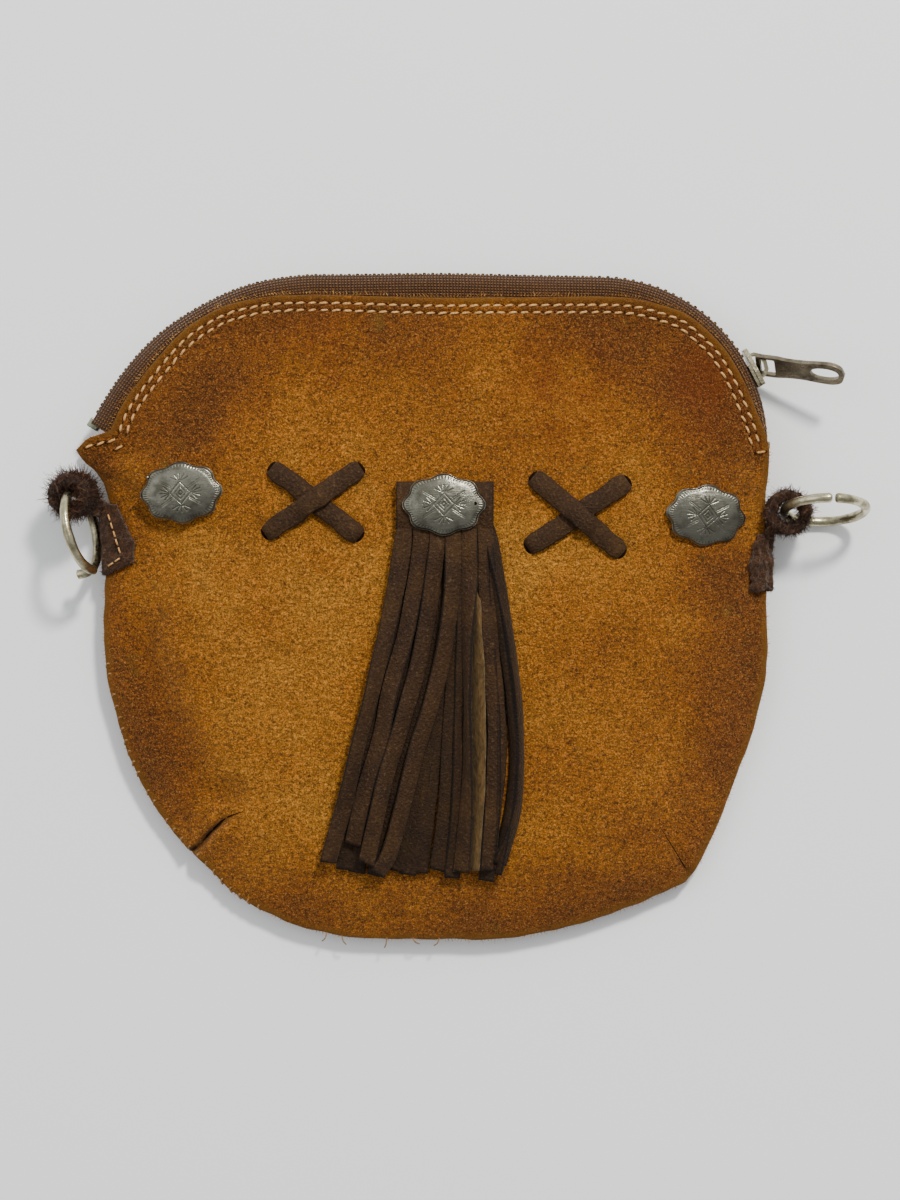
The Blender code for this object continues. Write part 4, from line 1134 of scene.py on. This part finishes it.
def fix_normals(mesh):
    bm = bmesh.new()
    bm.from_mesh(mesh)
    bmesh.ops.recalc_face_normals(bm, faces=bm.faces)
    bm.to_mesh(mesh)
    bm.free()
    return mesh


def oval(cx, hx, hy, count=36, power=2.3):
    out = []
    for k in range(count):
        a = 2 * math.pi * (k + 0.5) / count
        c, q = math.cos(a), math.sin(a)
        out.append((cx + hx * math.copysign(abs(c) ** (2 / power), c), hy * math.copysign(abs(q) ** (2 / power), q)))
    return out


half = [(-0.65, -3.7), (0.3, -4.15), (5.5, -4.2), (9.0, -3.75), (14.0, -3.7), (19.0, -4.2), (22.8, -4.2), (25.4, -2.9), (26.5, 0.0)]
lower = catmull(half, 7)
ring_ = [tuple(q) for q in lower] + [(x, -y) for x, y in lower[::-1][1:]]
pull_obj = plate("pull_tab", ring_, 1.4)
for nm, line in (("cut_window", oval(2.9, 2.25, 3.25, 28, 14.0)), ("cut_hole", oval(20.4, 4.3, 2.35))):
    tool = plate(nm, line, 5.0)
    m = pull_obj.modifiers.new(nm, "BOOLEAN")
    m.operation, m.object, m.solver = "DIFFERENCE", tool, "EXACT"
    bpy.context.view_layer.objects.active = pull_obj
    bpy.ops.object.modifier_apply(modifier=m.name)
    bpy.data.objects.remove(tool)
m = pull_obj.modifiers.new("ease", "BEVEL")
m.width, m.segments, m.limit_method, m.angle_limit = 0.32 * MM, 3, "ANGLE", math.radians(40)
bpy.ops.object.modifier_apply(modifier=m.name)
a27 = math.radians(SLIDER_DEG)
out27 = Vector((math.cos(a27), math.sin(a27), 0))
pivot = Vector((ARC_C[0] + ARC_R * out27.x, ARC_C[1] + ARC_R * out27.y, CHAIN_Z)) + out27 * 4.35
PP = Vector((0.927, -0.150, 0.342)).normalized()
PV = Vector((-0.185, 0.611, 0.770))
PV = (PV - PP * PV.dot(PP)).normalized()
PW = PP.cross(PV)
turned = Matrix(((PP.x, PV.x, PW.x, pivot.x * MM), (PP.y, PV.y, PW.y, pivot.y * MM), (PP.z, PV.z, PW.z, pivot.z * MM), (0, 0, 0, 1)))
pull_obj.data.transform(turned)
pull_obj.data.materials.clear()
pull_obj.data.materials.append(M_ZIP_SHADED)
pull_obj.data.polygons.foreach_set("use_smooth", [False] * len(pull_obj.data.polygons))
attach(pull_obj, "pull")
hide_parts("zip_pull")
from_cad("zip_bottom_stop", "bottom_stop", M_STOP, BAG, bevel=0.35)
from_cad("zip_top_stop_front", "top_stop_front", M_ZIP, BAG, bevel=0.3)
from_cad("zip_top_stop_back", "top_stop_back", M_ZIP, BAG, bevel=0.3)
for word in ("left", "center", "right"):
    refinish("concho_screw_" + word, M_ZIP)

tab_l = from_cad("ring_tab_left", "tab_left", M_DARK, BAG, remesh=0.36, rough=0.5, smooth=True, relax=3)
tab_r = from_cad("ring_tab_right", "tab_right", M_DARK, BAG, remesh=0.36, rough=0.85, smooth=True, relax=3)


def surface_spots(obj, count):
    mesh = obj.data
    mesh.calc_loop_triangles()
    vc = np.empty(len(mesh.vertices) * 3, np.float32)
    mesh.vertices.foreach_get("co", vc)
    vc = vc.reshape(-1, 3) / MM
    tri = np.empty(len(mesh.loop_triangles) * 3, np.int32)
    mesh.loop_triangles.foreach_get("vertices", tri)
    tri = vc[tri.reshape(-1, 3)]
    cross = np.cross(tri[:, 1] - tri[:, 0], tri[:, 2] - tri[:, 0])
    area = np.linalg.norm(cross, axis=1)
    pick = rng.choice(len(tri), count, p=area / area.sum())
    w = rng.dirichlet((1, 1, 1), count)
    return [((tri[k] * w[i][:, None]).sum(0), cross[k] / (area[k] + 1e-9)) for i, k in enumerate(pick)]


fuzz("tab_left_fibres", surface_spots(tab_l, 5200), M_FUZZ_DARK, 1.0, radius=0.05)
fuzz("tab_right_fibres", surface_spots(tab_r, 4200), M_FUZZ_DARK, 1.0, radius=0.05)

def near_spots(obj, centre, radius, count):
    found = [(p, d) for p, d in surface_spots(obj, count * 3) if math.dist(p[:2], centre) < radius and p[2] > 8]
    mid_ = np.array([centre[0], centre[1], 15.0])
    return [(p, np.asarray(d) * 0.7 + (mid_ - p) * (0.16 if k % 2 else 0.03) + (0, 0, 0.4 if k % 2 else 0.1)) for k, (p, d) in enumerate(found[:count])]


fuzz("tab_left_curl_fibres", near_spots(tab_l, (-106.3, 31.3), 7.8, 4600), M_FUZZ_DARK, 3.3, radius=0.085)
fuzz("tab_right_curl_fibres", near_spots(tab_r, (107.1, 26.2), 7.4, 3200), M_FUZZ_DARK, 2.4, radius=0.08)

# Cream stitches across the left tab, as in the photo.
pile = Pile()


def px(p, z=0.0):
    return ((p[0] - 430) * 0.3, (600 - p[1]) * 0.3, z)


def top_of(obj, x, y):
    hit, where, _, _ = obj.ray_cast(Vector((x * MM, y * MM, 0.08)), Vector((0, 0, -1)))
    return where.z / MM if hit else None


for a, b in (((109, 514), (122, 555)), ((122, 558), (108, 567))):
    line = resample([px(a)[:2], px(b)[:2]], step=2.6)
    for p0, p1 in zip(line, line[1:]):
        q0, q1 = p0 + (p1 - p0) * 0.12, p0 + (p1 - p0) * 0.82
        pts = []
        for k in range(5):
            t = k / 4
            q = q0 + (q1 - q0) * t
            z = top_of(tab_l, *q)
            if z is None:
                pts = []
                break
            pts.append((q[0], q[1], z + 0.15 + 0.35 * math.sin(math.pi * t)))
        if pts:
            p, f = tube_points(pts, 0.26, 6)
            pile.add(p, f)
if pile.count:
    add_object("tab_stitching", pile.mesh("tab_stitching"), M_THREAD)


# ------------------------------------------------------------------ conchos
def engraving(u, v, lobe):
    """Cut depth 0..1 of the face at u, v (-1..1 across the plate)."""
    r = np.hypot(u, v) / lobe
    a = np.arctan2(v, u)
    cut = np.zeros_like(u)

    def line(value, wide):
        return np.exp(-(value / wide) ** 2)
    d = np.abs(u) / 0.25 + np.abs(v) / 0.37
    cut = np.maximum(cut, 0.9 * line(d - 1.0, 0.05))
    cut = np.maximum(cut, 0.8 * line(d - 0.56, 0.045))
    cut = np.maximum(cut, 0.8 * line(d - 0.20, 0.08))
    # A fan of short strokes opens off each corner of the diamond.
    for su, sv, far in ((1, 0, 0.27), (-1, 0, 0.27), (0, 1, 0.39), (0, -1, 0.39)):
        pu, pv = u - su * (far - 0.02), (v - sv * (far - 0.02))
        along, off = pu * su + pv * sv, np.abs(pu * sv + pv * su)
        out = np.hypot(along, off)
        turn = np.arctan2(off, along)
        zone = (along > 0) & (turn < 1.12) & (out > 0.03) & (out < 0.27)
        for at_, wide in ((0.0, 0.075), (0.48, 0.075), (0.98, 0.075)):
            cut = np.maximum(cut, 0.8 * zone * line((turn - at_) * np.minimum(out, 0.2) / 0.16, wide))
    # Light diagonals from the diamond's sides.
    for su in (1, -1):
        for sv in (1, -1):
            diag = np.abs(u * su * 0.82 - v * sv)
            zone = (u * su > 0.20) & (u * su < 0.50) & (v * sv > 0.1)
            cut = np.maximum(cut, 0.5 * zone * line(diag - 0.03, 0.018))
    hatch = (0.5 + 0.5 * np.cos(a * 72 + 9 * r)) ** 3
    cut = np.maximum(cut, 0.75 * hatch * ((r > 0.84) & (r < 0.925)))
    cut = np.maximum(cut, 0.24 * line(r - 0.83, 0.012))
    return cut


def concho(word):
    cx, cy, turn = CONCHOS[word]
    W, H, T = 12.25, 9.1, 1.3
    h = 3.0
    fz = lambda x, y: float(face_z(np.array([x]), np.array([y]))[0])
    sx = (fz(cx + h, cy) - fz(cx - h, cy)) / (2 * h)
    sy = (fz(cx, cy + h) - fz(cx, cy - h)) / (2 * h)
    normal = Vector((-sx, -sy, 1)).normalized()
    x = Vector((math.cos(math.radians(turn)), math.sin(math.radians(turn)), 0))
    x = (x - normal * x.dot(normal)).normalized()
    y = normal.cross(x)
    stack = 0.45 if word != "center" else (0.5 + 0.65 + 1.3 + 0.35) + 0.65 + 0.4
    base = Vector((cx, cy, fz(cx, cy))) + normal * (stack + (0.35 if word != "center" else 0.1))
    B, X, Y, N = (np.array(v) for v in (base, x, y, normal))
    nt, nr = 288, 62
    a = np.linspace(0, 2 * math.pi, nt, endpoint=False)
    lobe = 1.01 - 0.095 * (0.5 - 0.5 * np.cos(8 * a)) ** 1.25
    pts, cav = [], []
    radii = np.linspace(0.0, 1.0, nr + 1)[1:] ** 0.85
    for r in radii:
        blend_ = sstep((r - 0.72) / 0.28)
        rr = r * (1 - (1 - lobe) * blend_)
        u, v = rr * np.cos(a), rr * np.sin(a)
        c = engraving(u, v, 1 - (1 - lobe) * blend_)
        dome = 1.5 * (1 - r ** 2.4)
        edge_drop = 0.62 * sstep((r - 0.93) / 0.07)
        worn = 0.02 * np.array([noise.noise(Vector((p * 5, q * 5, cx))) for p, q in zip(u, v)])
        z = T - 0.25 + dome - edge_drop - 0.19 * c + worn * 2
        pts.append(B + X * (W * u)[:, None] + Y * (H * v)[:, None] + N * z[:, None])
        cav.append(c)
    # The edge and the flat underside.
    for r, z in ((1.0, T * 0.35), (0.985, 0.06), (0.6, 0.0)):
        u, v = r * lobe * np.cos(a), r * lobe * np.sin(a)
        pts.append(B + X * (W * u)[:, None] + Y * (H * v)[:, None] + N * z)
        cav.append(np.full(nt, 0.35))
    rows = len(pts)
    allp = np.concatenate(pts + [[B + N * (T + 1.25)], [B]])
    faces = []
    for i in range(rows - 1):
        for k in range(nt):
            m = (k + 1) % nt
            faces.append((i * nt + k, (i + 1) * nt + k, (i + 1) * nt + m, i * nt + m))
    hub, low = len(allp) - 2, len(allp) - 1
    faces += [(hub, k, (k + 1) % nt) for k in range(nt)]
    faces += [(low, (rows - 1) * nt + (k + 1) % nt, (rows - 1) * nt + k) for k in range(nt)]
    mesh = make_mesh("concho_face_" + word, allp, faces, {"cavity": np.concatenate(cav + [[0.3, 0.3]])})
    obj = add_object("concho_face_" + word, mesh, M_CONCHO, BAG)
    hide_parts("concho_" + word)
    # The post under it, and the left one's small pin end or the middle one's hole, a dark plug of painted shadow.
    depth = stack + SUEDE_T + 1.0
    p, f = tube_points([B + N * 0.3, B - N * (depth - 0.1)], 2.25, 24)
    add_object("concho_post_" + word, make_mesh("concho_post_" + word, p, f), M_ZIP_SHADED)
    if word == "left":
        q = B + X * -9.6 + Y * 5.2
        p, f = tube_points([q + N * 0.5, q + N * 1.5, q + N * 1.9], [0.55, 0.5, 0.25], 10)
        add_object("concho_pin_left", make_mesh("concho_pin_left", p, f), M_ZIP)
    if word == "center":
        q = B + X * 9.3 + Y * 0.3
        top_z = top_of(obj, q[0], q[1])
        if top_z is not None:
            q[2] = top_z
        p, f = tube_points([q - N * 0.6, q + N * 0.06], 0.5, 14)
        add_object("concho_hole_shadow_center", make_mesh("concho_hole_shadow_center", p, f), M_PAINTED_SHADOW)


print("conchos")
for word in CONCHOS:
    concho(word)


# ------------------------------------------------------------------ ribbons: thongs and fringe strips
def ribbon(pile, left, right, thick, round_off=0.32, rim=True):
    """A closed strip between two lines of points, with its edges eased."""
    left, right = np.asarray(left, float), np.asarray(right, float)
    n = len(left)
    t = np.gradient((left + right) / 2, axis=0)
    t /= np.linalg.norm(t, axis=1)[:, None]
    across = right - left
    up = np.cross(across, t)
    up /= np.linalg.norm(up, axis=1)[:, None] + 1e-9
    flip = np.sign(up[:, 2])
    flip[flip == 0] = 1
    up *= np.sign(flip.sum() or 1)
    h = thick / 2
    e = round_off
    wide = np.linalg.norm(across, axis=1)[:, None] + 1e-9
    sections = [(0.0, -h + e), (0.0, h - e), (e, h), (0.5, h), (-e, h), (1.0, h - e), (1.0, -h + e), (-e, -h), (0.5, -h), (e, -h)]
    pts, rims = [], []
    for f, dz in sections:
        if f == 0.0:
            share = np.zeros((n, 1))
        elif f == 1.0:
            share = np.ones((n, 1))
        elif f == 0.5:
            share = np.full((n, 1), 0.5)
        elif f > 0:
            share = f / wide
        else:
            share = 1 + f / wide
        pts.append(left + across * share + up * dz)
        rims.append(np.full(n, 0.0 if f == 0.5 else (1.0 if f in (0.0, 1.0) else 0.45)))
    m = len(sections)
    allp = np.stack(pts, 1).reshape(-1, 3)
    rimv = np.stack(rims, 1).ravel()
    faces = []
    for i in range(n - 1):
        for k in range(m):
            j = (k + 1) % m
            faces.append((i * m + k, i * m + j, (i + 1) * m + j, (i + 1) * m + k))
    faces.append(tuple(range(m))[::-1])
    faces.append(tuple((n - 1) * m + k for k in range(m)))
    rimv[:m] = 1
    rimv[-m:] = 1
    pile.add(allp, faces, rim=rimv)


def fix_normals(mesh):
    bm = bmesh.new()
    bm.from_mesh(mesh)
    bmesh.ops.recalc_face_normals(bm, faces=bm.faces)
    bm.to_mesh(mesh)
    bm.free()
    return mesh


def lacing(name, a, b, raised):
    THONG_W, THONG_T = 6.1, 1.4
    start, end = np.array(a, float), np.array(b, float)
    along = (end - start) / np.linalg.norm(end - start)
    across = np.array([-along[1], along[0]])
    length = np.linalg.norm(end - start)
    ts, zs, narrow = [], [], []
    for t in np.concatenate([[-4.5, -2.5, -1.0, -0.2], np.linspace(0.3, length - 0.3, 60), [length + 0.2, length + 1.0, length + 2.5, length + 4.5]]):
        q = start + along * t
        g = float(front_top(np.array([q[0]]), np.array([q[1]]))[0])
        near = min(t, length - t)
        inside = g - SUEDE_T - 1.0 - THONG_T / 2
        top = g + 0.35 + THONG_T / 2
        z = inside + (top - inside) * sstep((near + 1.5) / 2.2)
        narrow.append(0.80 + 0.20 * sstep((near + 0.5) / 3.0))
        if raised:
            z += (THONG_T + 0.35) * sstep(1 - (abs(t - length / 2) - 2.6) / 5.0)
        ts.append(t)
        zs.append(z)
    ts, zs = np.array(ts), np.array(zs)
    k = np.arange(len(ts))
    wob = np.array([noise.noise(Vector((i * 0.11, a[0], 1))) for i in k]) * 0.35
    half = np.array(narrow) * THONG_W / 2 + np.array([noise.noise(Vector((i * 0.17, a[0], 5))) for i in k]) * 0.28
    centre = start + along * ts[:, None] + across * wob[:, None]
    tilt = np.array([noise.noise(Vector((i * 0.07, a[0], 9))) for i in k]) * 0.35
    left = np.column_stack([centre + across * half[:, None], zs + tilt])
    right = np.column_stack([centre - across * half[:, None], zs - tilt])
    pile = Pile()
    ribbon(pile, left, right, THONG_T, 0.35)
    obj = add_object(name + "_thong", fix_normals(pile.mesh(name)), M_LEATHER, BAG)
    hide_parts(name)
    # A dark oval at each slit where the thong goes through: painted shadow.
    slit = Pile()
    for q, sgn in ((start, -1), (end, 1)):
        g = float(front_top(np.array([q[0]]), np.array([q[1]]))[0])
        c = q + along * sgn * 0.55
        pts = []
        for i in range(16):
            an = 2 * math.pi * i / 16
            w = along * (0.95 * math.cos(an)) + across * (2.0 * math.sin(an))
            gz = float(front_top(np.array([c[0] + w[0]]), np.array([c[1] + w[1]]))[0])
            pts.append((c[0] + w[0], c[1] + w[1], gz + 0.05))
        pts += [(p[0], p[1], p[2] - 0.35) for p in pts]
        faces = [tuple(range(16)), tuple(range(31, 15, -1))] + [(i, 16 + i, 16 + (i + 1) % 16, (i + 1) % 16) for i in range(16)]
        slit.add(pts, faces)
    add_object(name + "_slit_shadows", fix_normals(slit.mesh(name + "_slit_shadows")), M_PAINTED_SHADOW)


lacing("lacing_left_over", (-48.5, 19.9), (-21.0, 39.0), True)
lacing("lacing_left_under", (-46.5, 39.2), (-21.3, 19.2), False)
lacing("lacing_right_over", (31.2, 36.3), (56.8, 14.2), True)
lacing("lacing_right_under", (29.7, 15.7), (58.3, 35.1), False)

# Fringe strips as they lie: left and right edges traced in photo units.
STRIP_W = 5.0


def from_centre(pts, width=16.0):
    pts = np.asarray(pts, float)
    t = np.gradient(pts, axis=0)
    t /= np.linalg.norm(t, axis=1)[:, None]
    nrm = np.stack([-t[:, 1], t[:, 0]], 1)
    w = np.full(len(pts), width) if np.isscalar(width) else np.asarray(width)
    return pts + nrm * (w / 2)[:, None], pts - nrm * (w / 2)[:, None]


def strip(pile, left, right, lift, lean=1, end_lift=0.0, seed=0.0, start=0.0):
    l2, r2 = catmull(left, 14), catmull(right, 14)
    l2, r2 = resample(l2, count=96), resample(r2, count=96)
    if l2[:, 0].mean() > r2[:, 0].mean():
        l2, r2 = r2, l2
    lm = np.column_stack([(l2[:, 0] - 430) * 0.3, (600 - l2[:, 1]) * 0.3])
    rm = np.column_stack([(r2[:, 0] - 430) * 0.3, (600 - r2[:, 1]) * 0.3])
    k = np.arange(96)
    wl = np.array([noise.noise(Vector((i * 0.09, seed, 2.0))) for i in k])[:, None] * 0.22
    wr = np.array([noise.noise(Vector((i * 0.09, seed, 7.0))) for i in k])[:, None] * 0.22
    lm[:, :1] += wl
    rm[:, :1] += wr
    seen = np.linalg.norm(rm - lm, axis=1)
    rise = np.sqrt(np.clip(STRIP_W ** 2 - seen ** 2, 0.0, None)) * 0.8
    # Every strip cups and waves a little even where it lies flat.
    rise = rise + 0.25 + 0.35 * np.abs(np.array([noise.noise(Vector((i * 0.05, seed, 11.0))) for i in k]))
    u = k / 95
    rise *= sstep(u / 0.08) * 1.0
    mid = (lm + rm) / 2
    base = face_z(mid[:, 0], mid[:, 1]) + lift + end_lift * sstep((u - 0.62) / 0.3)
    base = base + 0.30 * np.array([noise.noise(Vector((i * 0.06, seed, 4.0))) for i in k]) * sstep(u / 0.1)
    base = base + rise / 2 * 0.9
    zl, zr = (base + rise / 2, base - rise / 2) if lean > 0 else (base - rise / 2, base + rise / 2)
    # Eased blunt end, cut a little askew.
    ribbon(pile, np.column_stack([lm, zl]), np.column_stack([rm, zr]), 1.25, 0.3)


BL, FL = 1.15, 2.8
over, under, flesh = Pile(), Pile(), Pile()
A_L = [(397, 528), (395, 540), (386, 597), (369, 678), (355, 735), (344, 777), (321, 859)]
A_R = [(413, 528), (412, 551), (401, 609), (379, 696), (365, 747), (354, 802), (337, 861)]
B_L = [(413, 528), (412, 551), (400, 625), (384, 682), (375, 729), (358, 788), (346, 840)]
B_R = [(429, 528), (429, 551), (415, 632), (399, 689), (390, 735), (373, 793), (362, 845)]
C_L = [(429, 528), (429, 551), (420, 613), (410, 664), (395, 718), (381, 765), (370, 810), (360, 857)]
C_R = [(445, 528), (445, 551), (436, 616), (426, 669), (410, 724), (396, 770), (385, 816), (375, 865)]
D_L, D_R = from_centre([(453, 528), (453, 551), (451, 600), (444, 650), (432, 700), (418, 745), (404, 800), (390, 850), (378, 871)], [16, 16, 15, 15, 16, 16, 15, 16, 16])
E_L = [(461, 528), (461, 551), (461, 586), (463, 650), (465, 700), (464, 760), (460, 810), (453, 869)]
E_R = [(477, 528), (477, 551), (477, 586), (471, 650), (470, 700), (471, 760), (472, 810), (469, 870)]
F_L = [(477, 528), (478, 586), (484, 678), (487, 735), (484, 804), (480, 868)]
F_R = [(493, 528), (494, 563), (497, 632), (504, 701), (506, 758), (500, 816), (495, 868)]
strip(over, A_L, A_R, FL, 1, 0, 1.3)
strip(over, B_L, B_R, FL, -1, 0, 2.3)
strip(over, C_L, C_R, FL + 0.1, 1, 1.5, 3.3)
strip(over, D_L, D_R, FL + 0.15, 1, 0.4, 4.3)
strip(over, E_L, E_R, FL, -1, 0, 5.3)
strip(over, F_L, F_R, FL, 1, 0, 6.3)
for pts, width, seed, lean in (
        ([(410, 528), (407, 560), (398, 615), (379, 690), (366, 740), (351, 800), (345, 868)], 17, 11.1, 1),
        ([(427, 528), (425, 560), (415, 620), (400, 690), (384, 760), (366, 820), (357, 871)], 17, 12.1, -1),
        ([(444, 528), (443, 560), (438, 620), (425, 690), (407, 760), (388, 820), (376, 874)], 17, 13.1, 1),
        ([(440, 528), (440, 600), (436, 680), (424, 740), (408, 800), (396, 869)], 17, 14.1, -1),
        ([(442, 528), (441, 620), (433, 700), (420, 780), (408, 873)], 18, 14.3, -1),
        ([(448, 528), (447, 600), (444, 680), (434, 745), (426, 810), (419, 871)], 18, 14.6, 1)):
    l, r = from_centre(pts, width)
    strip(under, l, r, BL - 0.1, lean, 0.0, seed)
strip(under, [(446, 528), (447, 600), (446, 669), (442, 735), (438, 804), (430, 866)], [(462, 528), (463, 586), (463, 701), (461, 758), (459, 827), (454, 873)], BL + 0.5, 1, 0, 15.1)
strip(under, *from_centre([(466, 528), (464, 600), (462, 700), (459, 800), (452, 876)], 15), BL, 1, 0, 15.7)
strip(under, *from_centre([(487, 528), (493, 551), (508, 632), (517, 701), (519, 770), (514, 816), (499, 862)], [14, 12, 7, 6, 6, 8, 13]), BL + 0.2, 1, 0, 16.1)
strip(under, *from_centre([(484, 528), (488, 560), (500, 640), (509, 701), (513, 752), (509, 806), (496, 872)], [14, 12, 9, 7, 6, 7, 11]), BL, -1, 0, 17.1)
strip(under, *from_centre([(480, 528), (484, 600), (492, 700), (493, 800), (486, 879)], 14), BL - 0.1, -1, 0, 18.1)
strip(flesh, *from_centre([(474, 585), (476, 625), (477, 660), (478, 720), (478, 780), (475, 830), (473, 868)], [8, 9, 12, 14, 13, 12, 11]), BL + 0.35, -1, 0, 19.1)


def band(pile, x0, x1, y0, y1, lift):
    xs = np.linspace(x0, x1, 40)
    top = np.column_stack([xs, np.full(40, y0)])
    low = np.column_stack([xs, np.full(40, y1)])
    zt = face_z(top[:, 0], top[:, 1]) + lift
    zl = face_z(low[:, 0], low[:, 1]) + lift
    ribbon(pile, np.column_stack([top, zt]), np.column_stack([low, zl]), 1.3, 0.3)


band(over, -9.9, 18.9, 35.1, 20.9, FL)
band(under, -9.9, 18.9, 35.1, 20.9, BL)
fo = add_object("fringe_over", fix_normals(over.mesh("fringe_over")), M_LEATHER, BAG)
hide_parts("fringe_front")
fu = add_object("fringe_under", fix_normals(under.mesh("fringe_under")), M_LEATHER_SHADED, BAG)
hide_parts("fringe_back")
add_object("fringe_turned_strip", fix_normals(flesh.mesh("fringe_turned_strip")), M_FLESH, BAG)

# ------------------------------------------------------------------ stage and light
bpy.ops.mesh.primitive_plane_add(size=6, location=(0, 0, 0))
floor = bpy.context.active_object
floor.name = "floor"
nf = Nodes("floor_paper")
ff = nf.noise(4.0, 2, 0.5)
floor_mat = nf.finish(nf.ramp(ff, [(0.3, rgb(247, 247, 246)), (0.7, rgb(249, 249, 248))]), 0.9, None, 0, 0, 0.5, (1, 1, 1), 0.1)
floor.data.materials.append(floor_mat)


def light(name, where, target, size, power, colour=(1, 1, 1)):
    data = bpy.data.lights.new(name, "AREA")
    data.shape = "DISK"
    data.size = size
    data.energy = power
    data.color = colour
    obj = bpy.data.objects.new(name, data)
    obj.location = where
    obj.rotation_euler = (Vector(target) - Vector(where)).to_track_quat("-Z", "Y").to_euler()
    scene.collection.objects.link(obj)
    return obj


light("key", (0.52, 1.04, 1.25), (0, 0, 0), 0.24, 31, (1.0, 0.985, 0.96))
light("fill", (-1.2, 0.2, 1.3), (0, 0, 0), 1.6, 7, (0.95, 0.97, 1.0))
world = bpy.data.worlds.new("studio")
scene.world = world
world.use_nodes = True
wt = world.node_tree
wg, wx, wr = wt.nodes.new("ShaderNodeTexCoord"), wt.nodes.new("ShaderNodeSeparateXYZ"), wt.nodes.new("ShaderNodeMapRange")
wt.links.new(wg.outputs["Generated"], wx.inputs[0])
wt.links.new(wx.outputs["Y"], wr.inputs["Value"])
wr.inputs["From Min"].default_value, wr.inputs["From Max"].default_value = -0.6, 0.8
wr.inputs["To Min"].default_value, wr.inputs["To Max"].default_value = 0.415, 1.13
wt.nodes["Background"].inputs["Color"].default_value = (0.93, 0.95, 0.97, 1)
wt.links.new(wr.outputs["Result"], wt.nodes["Background"].inputs["Strength"])
